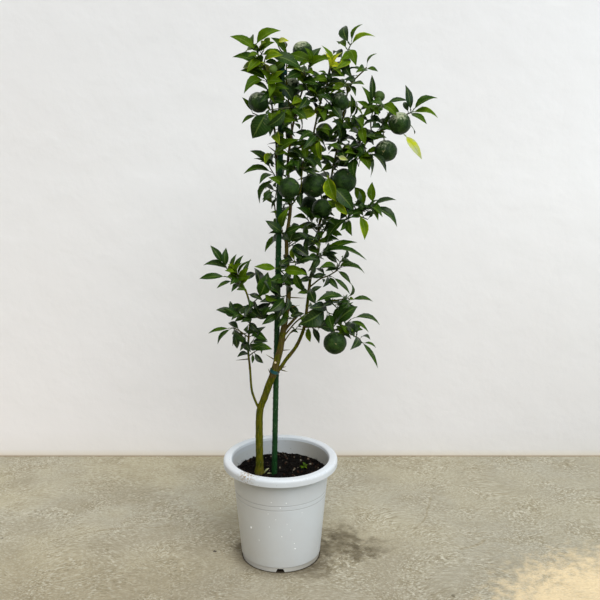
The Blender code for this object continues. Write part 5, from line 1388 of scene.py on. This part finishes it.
        (-0.5, -8, 72.5, 50), (2, -7.5, 79, 50), (-4.5, -8.5, 73.5, 50), (-3.5, -8.5, 80, 40),
        (-5.5, -7, 77, 30))),
    "right_thick_a": (0.36, ((20, 2.5, 121), (20.5, 0, 118.6), (21, -1.5, 117)), (
        (17.5, -4, 116, 40), (24, -5, 115, 30), (22, -6.5, 119.5, 50), (17.5, -6, 119.5, 30),
        (20, -6, 112.8, 50), (25, -4, 118, 30))),
    "right_thick_b": (0.38, ((22, 1.5, 121.8), (21.5, -0.8, 124), (21.8, -2, 126)), (
        (18.5, -5, 125, 30), (25, -5.5, 123, 40), (19, -3, 129, 50), (25.5, -4, 127.5, 40),
        (22.5, -6, 121.5, 50))),
    "top_thick": (0.5, ((-2, -2.4, 133.5), (-2.2, -4.6, 135), (-1.8, -5.6, 137)), (
        (-6.5, -7.5, 137.5, 40), (2.5, -8, 136, 40), (-4.5, -8.5, 132.5, 50),
        (-4.5, -7, 141, 50), (1.5, -8.5, 140.5, 40))),
    "top_thick_right": (0.5, ((7, -1.6, 139), (5.5, -3.6, 140.5), (4.5, -4.6, 142)), (
        (9, -7, 139.5, 40), (2, -8, 138.5, 30), (1, -6, 143.5, 40), (8, -6, 142.6, 50, 0.56),
        (1.8, -5.5, 144.4, 50))),
    "beside_fruit": (0.3, ((3.0, 0.1, 107), (1, -2, 108.6), (-1.2, -4, 109.2)), (
        (-2.2, -7, 113.2, 50), (-4.2, -6, 106.4, 45, 0.26, 0.3))),
    "crossing": (0.5, ((2.4, -1.8, 84.5), (1.2, -4, 86.5), (-0.3, -5.8, 88.3)), (
        (-3, -8, 85.3, 50, 0.3), (3.5, -7.5, 84.3, 40, 0.34), (2, -8.5, 91.8, 60, 0.4),
        (7.6, -8.5, 87.4, 55, 0.54, 0.36), (-6.4, -8.5, 89.6, 45, 0.56, 0.28))),
    "big_pair": (0.26, ((15, -4.2, 70.6), (14.6, -7, 72), (15, -9.8, 73.6)), (
        (10.5, -10, 73.5, 60), (19.2, -10.6, 80.4, 65, 0.24, 0.40),
        (20.9, -11, 79.2, 65, 0.28, 0.44))),
    "right_arch": (0.32, ((13.2, -0.4, 84.9), (13.6, -1.6, 85.3), (14.3, -3, 85.4)), (
        (12.2, -5, 83, 40), (16, -5.5, 82.6, 40), (19.3, -6, 81.5, 40, 0.30, 0.18))),
    "left_small": (0.34, ((-8.5, -4, 63), (-7, -5, 64.5), (-6, -5, 65)), (
        (-11.5, -7.5, 64, 30), (-7.5, -6, 61.5, 50), (-4.5, -6, 61.5, 50), (-5, -3, 63.5, 30))),
}
# Small shoots inside the crown and at the back, set by rule: lightness, route, number of
# leaves, leaf length in centimetres.
RULE_SHOOTS = {
    "back_low": (0.38, ((-1.6, 12, 103), (-1.2, 14.5, 105), (-0.8, 16, 108)), 6, 5.2),
    "back_middle": (0.38, ((9.5, 14, 111.5), (9, 15, 113), (8.5, 16, 115.5)), 6, 7.5),
    "back_high": (0.38, ((4, 9.5, 131.5), (4.5, 10.5, 133), (4.5, 11.5, 135.5)), 6, 7.5),
    "fill_shoulder": (0.42, ((16.6, 3.2, 124.4), (17.6, 0.5, 125), (18.6, -1.6, 125.2)), 6, 4.8),
    "fill_far": (0.38, ((23.5, 0.7, 122.8), (24.2, -1.2, 122), (25, -3, 121.2)), 9, 4.8),
    "fill_fruits": (0.34, ((14.6, 5.8, 113.5), (15, 2, 115), (15.6, -1.6, 115)), 8, 5.2),
    "fill_fruits_left": (0.36, ((2.5, 0, 116), (6, -3, 115), (10, -5, 114.6)), 7, 4.6),
    "fill_fruits_right": (0.38, ((17.8, 3.5, 119.3), (20.5, 1, 117), (21.3, -1, 115.2)), 8, 4.8),
    "fill_stair": (0.34, ((20.9, 1, 101.7), (20.5, -1.5, 104), (20, -3.5, 105.2)), 6, 4.8),
    "fill_stair_end": (0.36, ((22.3, 0.6, 102.8), (23.4, -1, 103.4), (24, -2.5, 103.2)), 8, 4.6),
    "fill_gap_a": (0.36, ((10.8, 4.1, 93.5), (9.5, 0, 94), (8, -3, 94)), 7, 5.2),
    "fill_gap_b": (0.34, ((10.5, 3.5, 89), (11.2, 0, 90.5), (11.5, -2.5, 91)), 6, 5.2),
    "fill_gap_c": (0.32, ((2.2, -1.4, 89), (4.5, -3.5, 89.5), (6.8, -4.5, 89.5)), 7, 5.0),
    "fill_gap_d": (0.32, ((8.6, 2.2, 83.5), (8.2, -1, 84.5), (7.8, -3, 85)), 6, 4.8),
    "fill_gap_e": (0.32, ((8.1, 1.4, 80), (8, -1, 80.5), (7.6, -3, 80.8)), 4, 4.2),
    "fill_top": (0.5, ((-4.6, -3.8, 143.2), (-4.2, -5, 144.4), (-3.6, -6, 145.2)), 6, 4.6),
    "fill_left": (0.36, ((-8, -5.5, 74.5), (-10, -6.5, 75), (-12.5, -7.5, 75.5)), 9, 4.6),
    "fill_left_low": (0.36, ((-7.9, -5.5, 74.4), (-6, -7, 75), (-4.6, -7.6, 75.2)), 8, 4.4),
    "fill_mid": (0.36, ((2.4, -1.8, 83), (0, -5, 83.5), (-1.5, -6.5, 83)), 6, 5.0),
    "fill_low_right": (0.36, ((14, -7.5, 79.6), (15.2, -9, 78.6), (16, -10, 78.2)), 6, 4.4),
    "fill_lowest": (0.42, ((18, -5, 70.4), (19, -7.5, 70.8), (19.5, -9, 70.6)), 7, 4.4),
    "fill_far_high": (0.36, ((27, 0.3, 124.5), (27.3, -2, 126.5), (27.6, -3.5, 128)), 6, 4.4),
    "fill_heart": (0.34, ((16.2, 3.8, 122), (14.5, 0, 122), (13.2, -3, 122)), 8, 4.8),
    "fill_far_low": (0.34, ((21.7, 1.5, 121.6), (23, -1, 118), (23.6, -2.2, 116)), 5, 4.2),
    "fill_crown": (0.40, ((12.7, 0, 136.4), (12, -2, 137), (11.4, -3.5, 137)), 7, 4.6),
    "fill_crown_low": (0.36, ((11, -0.6, 132), (10.2, -3, 133.4), (9.8, -4.5, 133.6)), 7, 4.6),
    "fill_crown_left": (0.36, ((6.6, -1.3, 136.4), (7.8, -3.5, 135), (8.8, -5, 134.2)), 6, 4.2),
    "fill_stair_low": (0.38, ((20.9, 1, 101.7), (22.5, -1.5, 101.5), (23.8, -3, 101.2)), 5, 4.2),
    "fill_curl": (0.38, ((15.4, -1.3, 86.5), (16.2, -3, 88.6), (16.6, -4, 90)), 6, 4.6),
    "fill_mid_low": (0.40, ((1.6, -3, 73.5), (3, -5.5, 74.2), (4, -6.5, 74.6)), 5, 4.2),
    "fill_under_far": (0.36, ((22.5, 0, 121), (23.5, -2, 118), (24, -3, 116.5)), 5, 4.2),
}
# Along the leaf: the share of its length, and the share of its full half width.
LEAF_FORM = (
    (0.0, 0.06), (0.11, 0.17), (0.15, 0.06), (0.26, 0.52), (0.39, 0.90), (0.54, 1.0),
    (0.70, 0.85), (0.86, 0.44), (1.0, 0.012),
)
LEAF_COLUMNS = 4
LEAF_WIDTH = 0.37
LEAF_THICK = 0.0006
TWIG_RADIUS = 0.0017
FULL_TONE_FROM = 120
DARKEST_BELOW = 90
AGE_AND_SHADE_DARKER = 0.14
TONE_SPREAD = 0.22
GOLDEN_ANGLE = 137.5
RULE_TURN = 45
GREENS = ((0.0, (0.002, 0.009, 0.002)), (0.35, (0.015, 0.046, 0.002)),
          (0.6, (0.074, 0.136, 0.002)), (0.8, (0.20, 0.28, 0.010)),
          (0.93, (0.46, 0.50, 0.015)), (1.0, (0.42, 0.46, 0.22)))
UNDER_GREENS = ((0.0, (0.010, 0.030, 0.008)), (0.5, (0.040, 0.098, 0.010)),
                (1.0, (0.50, 0.48, 0.10)))
FACE_RIB = (0.18, 0.26, 0.05)
BACK_RIB = (0.20, 0.26, 0.09)
LEAF_FLECK = (0.26, 0.24, 0.10)
TWIG_GREEN = (0.030, 0.060, 0.014)
TWIG_BROWN = (0.060, 0.050, 0.022)


def build_veins_group():
    """Midrib and side veins of a leaf from its own map: across is U, along is V."""
    group, given, wanted = new_group(
        "leaf_veins", (("Map", "Vector", None), ("Pairs", "Float", 12.0)),
        ("Midrib", "Veins", "Margin"))
    spot = axes_of(group, given["Map"])
    off_middle = math_node(group, "ABSOLUTE", math_node(group, "SUBTRACT", spot["X"], 0.5))
    across = times(group, off_middle, 2.0)
    slant = math_node(group, "SUBTRACT", spot["Y"], times(group, across, 0.13))
    saw = math_node(group, "FRACT", times(group, slant, given["Pairs"]))
    off_vein = math_node(group, "ABSOLUTE", math_node(group, "SUBTRACT", saw, 0.5))
    vein = times(group, fade(group, off_vein, 0.13, 0.02, smooth=True),
                 fade(group, across, 0.95, 0.5, smooth=True))
    put(group, fade(group, across, 0.13, 0.03, smooth=True), wanted["Midrib"])
    put(group, vein, wanted["Veins"])
    put(group, fade(group, across, 0.62, 1.0, smooth=True), wanted["Margin"])
    return group


LEAF_VEINS = build_veins_group()


def build_leaf_look(name, greens, rib_tint, rib_share, gloss, relief):
    """One face of a leaf: the green its tone gives, uneven, with veins and small blemishes."""
    look, tree, shader = new_material(name)
    place = object_place(tree)
    tone = attribute(tree, "tone")
    blade = add_node(tree, "ShaderNodeUVMap", uv_map="blade").outputs[0]
    veins = add_node(tree, "ShaderNodeGroup", {"Map": blade}, node_tree=LEAF_VEINS).outputs
    cloud = patches(tree, place, 42.0, 0.3, 0.7, 4.0)
    uneven = stray(tree, tone, cloud, 0.14)
    lit = math_node(tree, "MULTIPLY_ADD", veins["Margin"],
                    fade(tree, tone, 0.55, 0.62, 0.03, 0.24), uneven)
    lit = math_node(tree, "MAXIMUM", uneven, math_node(tree, "MINIMUM", lit, 0.93))
    colour = ramp_node(tree, lit, greens)
    colour = mix_colour(tree, times(tree, veins["Veins"], 0.13), colour, rib_tint)
    colour = mix_colour(tree, times(tree, veins["Midrib"], rib_share), colour, rib_tint)
    flecks = times(tree, specks(tree, place, 330.0, 0.3, 0.035), 0.6)
    colour = mix_colour(tree, flecks, colour, LEAF_FLECK)
    put(tree, fade(tree, cloud, 0, 1, gloss - 0.05, gloss + 0.08), shader.inputs["Roughness"])
    put(tree, fade(tree, tone, 0.12, 0.45, 0.26, 0.04), shader.inputs["Specular IOR Level"])
    ribs = math_node(tree, "ADD", veins["Midrib"], times(tree, veins["Veins"], 0.5))
    grain = times(tree, patches(tree, place, 260.0, 0.3, 0.7, 2.0), 0.35)
    height = math_node(tree, "ADD", times(tree, ribs, relief), grain)
    finish_look(tree, shader, colour, height, 0.5, 0.0008)
    return look


leaf_face = build_leaf_look("leaf_face", GREENS, FACE_RIB, 0.38, 0.34, -1.0)
leaf_back = build_leaf_look("leaf_back", UNDER_GREENS, BACK_RIB, 0.6, 0.55, 1.0)
green_twig = build_plain_look("green_twig", 0.55, 70.0, TWIG_GREEN, TWIG_BROWN, 500.0, 0.3)


def new_spray():
    """An empty mesh with a leaf's own map and tone."""
    bm = bmesh.new()
    bm.loops.layers.uv.new("blade")
    bm.verts.layers.float.new("tone")
    return bm


def add_leaf(bm, base, tip, turn, tone, chance, width=LEAF_WIDTH):
    """One leaf: a face and a back drawn into the blade's outline, folded, arched and joined."""
    length = (tip - base).length
    along = (tip - base).normalized()
    spread = Vector((base.x - 0.02, base.y, 0))
    sky = Vector((0, 0, 1)) + (spread.normalized() * 0.35 if spread.length > 0.01 else spread)
    up = (sky - sky.dot(along) * along).normalized()
    front = along.cross(up)
    if front.y > 0:
        front = -front
    turn = math.radians(turn + chance.uniform(-6, 6))
    up = math.cos(turn) * up + math.sin(turn) * front
    side = along.cross(up)
    arch = length * chance.uniform(0.08, 0.20)
    droop = length * chance.uniform(0.02, 0.10)
    fold = chance.uniform(0.20, 0.60)
    curl = chance.uniform(-0.05, 0.22)
    bow = length * chance.uniform(-0.09, 0.09)
    twist = math.radians(chance.uniform(-16, 16))
    waves = chance.uniform(1.3, 2.2)
    phase = chance.uniform(0, 6.3)
    ripple = chance.uniform(0.03, 0.10)
    half = 0.5 * width * chance.uniform(0.88, 1.10) * length
    rows = len(LEAF_FORM) - 1
    blade = bm.loops.layers.uv["blade"]
    tone_layer = bm.verts.layers.float["tone"]
    made = []
    for layer, depth in enumerate((0.0, LEAF_THICK)):
        grid = bmesh.ops.create_grid(bm, x_segments=LEAF_COLUMNS, y_segments=rows,
                                     size=0.5)["verts"]
        faces = list({face for vertex in grid for face in vertex.link_faces})
        for face in faces:
            face.material_index = layer
            for loop in face.loops:
                share = LEAF_FORM[round((loop.vert.co.y + 0.5) * rows)][0]
                loop[blade].uv = (loop.vert.co.x + 0.5, share)
        for vertex in grid:
            across = 2 * vertex.co.x
            row = round((vertex.co.y + 0.5) * rows)
            share, wide = LEAF_FORM[row]
            reach = half * wide
            turned = twist * (share - 0.3)
            now_side = math.cos(turned) * side + math.sin(turned) * up
            now_up = math.cos(turned) * up - math.sin(turned) * side
            swell = 4 * share * (1 - share)
            rise = arch * swell - droop * max(0.0, (share - 0.6) / 0.4) ** 2
            wave = ripple * math.sin(2 * math.pi * waves * share
                                     + phase * (1 if across > 0 else 1.7))
            lift = reach * (fold * abs(across) - curl * across ** 2 + wave * abs(across) ** 3)
            if abs(across) < 0.9 and 0 < row < rows:
                lift -= depth
            vertex.co = (base + along * (length * share) + up * rise + side * (bow * swell)
                         + now_side * (across * reach) + now_up * lift)
            vertex[tone_layer] = tone
        if depth:
            bmesh.ops.reverse_faces(bm, faces=faces)
        made += grid
    bmesh.ops.remove_doubles(bm, verts=made, dist=1e-6)


def tone_at(tone, height, chance):
    """Leaves differ from each other, and those low on the tree are darker, partly older and partly
    painted shade.
    """
    low = min(1.0, max(0.0, (FULL_TONE_FROM - height) / (FULL_TONE_FROM - DARKEST_BELOW)))
    return max(0.02, tone - AGE_AND_SHADE_DARKER * low + chance.uniform(-TONE_SPREAD, TONE_SPREAD))


def along_route(route, share):
    lengths = [(b - a).length for a, b in zip(route, route[1:])]
    walk = share * sum(lengths)
    for a, b, length in zip(route, route[1:], lengths):
        if walk <= length:
            return a.lerp(b, walk / length)
        walk -= length
    return route[-1]


def finish_spray(name, bm):
    """Hand over a spray; the margin where face and back meet stays a sharp edge."""
    return finish_piece(name, bm, leaf_face, leaf_back, green_twig, corner=80)


def grow_shoot(name, tone, twig, leaves, radius=TWIG_RADIUS, width=LEAF_WIDTH):
    """A twig with its leaves, from the wood to its last leaf."""
    chance = random.Random(name)
    bm = new_spray()
    stations = smooth_route([(radius * (1 - 0.3 * i / len(twig)), metres(place))
                             for i, place in enumerate(twig)], 0.004)
    route = [place for _, place in stations]
    for face in grow_tube(bm, stations, 8):
        face.material_index = 2
    count = len(leaves)
    for number, leaf in enumerate(leaves):
        share = 1.0 if number == count - 1 else (number + 0.7) / count
        own = leaf[4] if len(leaf) > 4 else tone_at(tone, leaf[2], chance)
        wide = leaf[5] if len(leaf) > 5 else width
        add_leaf(bm, along_route(route, share), metres(leaf), leaf[3], own, chance, wide)
    return finish_spray(name, bm)


def leaves_round(places, count, length, face):
    """Leaf tips set round a twig at the golden angle, each a little higher, facing forwards."""
    foot, end = Vector(places[0]), Vector(places[-1])
    tips = []
    for number in range(count):
        way = heading(math.radians(GOLDEN_ANGLE * number + 90),
                      math.radians(-10 + 70 * number / count))
        tips.append((*(foot.lerp(end, (number + 0.7) / count) + length * way), face))
    return tips


def hang_spray(spray, node):
    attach(spray, "root")
    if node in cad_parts:
        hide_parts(node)


for shoot_name, (tone, twig, count, long) in RULE_SHOOTS.items():
    SHOOTS[shoot_name] = (tone, twig, leaves_round(twig, count, long, RULE_TURN))
for shoot_name, (tone, twig, leaves) in SHOOTS.items():
    shoot = grow_shoot(f"leaves_{shoot_name}", tone, twig, leaves)
    hang_spray(shoot, f"shoot_{shoot_name}")

# The limbs carry leaves of their own between the shoots, one at each node. Each limb is written
# as: where its leaves start, their spacing and length in centimetres, and how light they are.
LEAFY_LIMBS = {
    "stem": (0.60, 1.4, 5.8, 0.38), "upper_left": (0.16, 1.1, 5.8, 0.48),
    "centre": (0.08, 1.0, 5.8, 0.42), "upper_right": (0.06, 1.1, 5.6, 0.42),
    "right": (0.62, 1.2, 6.0, 0.36), "far_right": (0.08, 1.3, 5.8, 0.38),
    "right_top": (0.1, 1.6, 5.0, 0.4), "tied_leader": (0.1, 1.3, 6.0, 0.46),
    "third_right": (0.15, 1.6, 5.8, 0.36), "middle_right": (0.3, 2.0, 5.6, 0.38),
    "low_right": (0.25, 1.4, 6.0, 0.32), "lowest_right": (0.3, 1.8, 5.4, 0.36),
    "low_left": (0.2, 1.4, 5.0, 0.34), "left": (0.46, 1.3, 5.6, 0.34),
    "between_fruits": (0.1, 1.3, 6.0, 0.34), "back_low": (0.3, 1.8, 6.5, 0.36),
    "back_middle": (0.2, 1.8, 6.5, 0.36), "back_high": (0.2, 1.6, 6.5, 0.38),
}
# The crown's reach to the left and right at each height, in centimetres, seen from the front.
CROWN_REACH = (
    (60, -10, 3), (65, -12, 16), (69, -16, 23), (74, -17, 24), (78, -13, 22), (82, -13, 14),
    (87, -17, 13), (91, -16, 17), (95, -4, 18), (99, -3.5, 20), (103, -3.5, 24), (107, -5.5, 24),
    (111, -5, 21), (115, -5.5, 24.5), (119, -6, 28), (123, -4, 29), (127, -9, 29), (131, -9, 30),
    (135, -9, 20), (139, -9.5, 19), (143, -9.5, 20), (147, -8, 21), (152, -8, 20),
)
# Open places in the crown, seen from the front: across, height and reach in centimetres.
CLEARINGS = ((7.6, 125.7, 2.2), (0.8, 143.4, 1.2), (-5.2, 112, 2.2), (-5.5, 122.5, 2.0),
(-5.5, 118.5, 1.6),
             (-13, 82.5, 1.8), (4.2, 78.5, 2.0), (11.5, 78.6, 1.8),
             (1.8, 73.7, 1.2), (2.9, 78.8, 1.2), (3.2, 80.8, 1.2))
LEAF_TRIES = 10
FRUIT_CLEAR = 0.004


def in_reach(place):
    """Whether a place lies within the crown's reach at its height."""
    height = place.z * 100
    for (low, *sides), (high, *sides_above) in zip(CROWN_REACH, CROWN_REACH[1:]):
        if low <= height < high:
            share = (height - low) / (high - low)
            left, right = (a + (b - a) * share for a, b in zip(sides, sides_above))
            return left <= place.x * 100 <= right
    return False


def leaf_fits(base, tip):
    """Whether a leaf stays in the crown, off fruits and open places, and hides no fruit."""
    if not in_reach(tip):
        return False
    for share in (0.3, 0.6, 1.0):
        place = base.lerp(tip, share)
        for across, height, clear in CLEARINGS:
            if math.hypot(place.x * 100 - across, place.z * 100 - height) < clear:
                return False
        for centre, diameter, *_ in FRUITS.values():
            away = place - metres(centre)
            radius = diameter / 2000
            if away.length < radius + FRUIT_CLEAR:
                return False
            if away.y < 0 and math.hypot(away.x, away.z) < 0.98 * radius:
                return False
    return True


def leaves_along(route, start, spacing, length, chance):
    """Leaves at a limb's nodes: each turns on by the golden angle until it fits the crown."""
    whole = sum((b - a).length for a, b in zip(route, route[1:]))
    count = max(1, round(whole * (1 - start) / spacing))
    found = []
    for number in range(count):
        base = along_route(route, start + (1 - start) * (number + 0.5) / count)
        size = length * chance.uniform(0.75, 1.2)
        for attempt in range(LEAF_TRIES):
            way = heading(math.radians(GOLDEN_ANGLE * number + 71 * attempt),
                          math.radians(chance.uniform(-40, 40)))
            if leaf_fits(base, base + way * size):
                found.append((base, base + way * size))
                break
    return found


for limb_name, (start, spacing, length, tone) in LEAFY_LIMBS.items():
    places = [place for _, place in STEM] if limb_name == "stem" else LIMBS[limb_name][2]
    chance = random.Random(limb_name)
    bm = new_spray()
    route = [metres(place) for place in places]
    for base, tip in leaves_along(route, start, spacing / 100, length / 100, chance):
        own = tone_at(tone, tip.z * 100, chance)
        add_leaf(bm, base, tip, chance.uniform(5, 60), own, chance)
    hang_spray(finish_spray(f"leaves_on_{limb_name}", bm), None)


# ---- seedling and dry blade: what else grows and lies on the soil -----------------------------
# A small bright green weed has come up to the right of the stake, and one dry straw-coloured
# blade stands in the crumbs beside the trunk.
WEED_TWIG = ((6.8, 2, 25.8), (6.8, 2, 27.3))
WEED_LEAVES = ((5.6, 1.8, 27.2, 10, 0.50), (7.9, 2.3, 27.5, 10, 0.44), (6.5, 3.2, 27.9, 10, 0.40),
               (7.6, 1.1, 26.8, 20, 0.56), (5.9, 1.0, 26.9, 25, 0.46), (6.9, 1.2, 28.1, 20, 0.52))
# The dry blade is two strips, each written as: foot, tip, turn and width.
DRY_STRIPS = (((-4.6, -1.6, 26.0), (-3.2, -1.8, 28.2), 40, 0.22),
              ((-4.3, -2.0, 26.1), (-2.6, -2.6, 27.0), 20, 0.16))
STRAW_PALE = (0.34, 0.36, 0.20)
STRAW_GREEN = (0.20, 0.24, 0.10)

weed = grow_shoot("seedling", 0.7, WEED_TWIG, WEED_LEAVES, radius=0.0008, width=0.5)
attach(weed, "root")
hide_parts("weed_sprout")

straw, tree, shader = new_material("dry_straw", Roughness=0.7)
put(tree, mix_colour(tree, patches(tree, object_place(tree), 200.0), STRAW_PALE, STRAW_GREEN),
    shader.inputs["Base Color"])
bm = new_spray()
chance = random.Random(3)
for foot, tip, turn, width in DRY_STRIPS:
    add_leaf(bm, metres(foot), metres(tip), turn, 0.9, chance, width)
blade_piece = finish_piece("dry_blade", bm, straw, straw)
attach(blade_piece, "root")
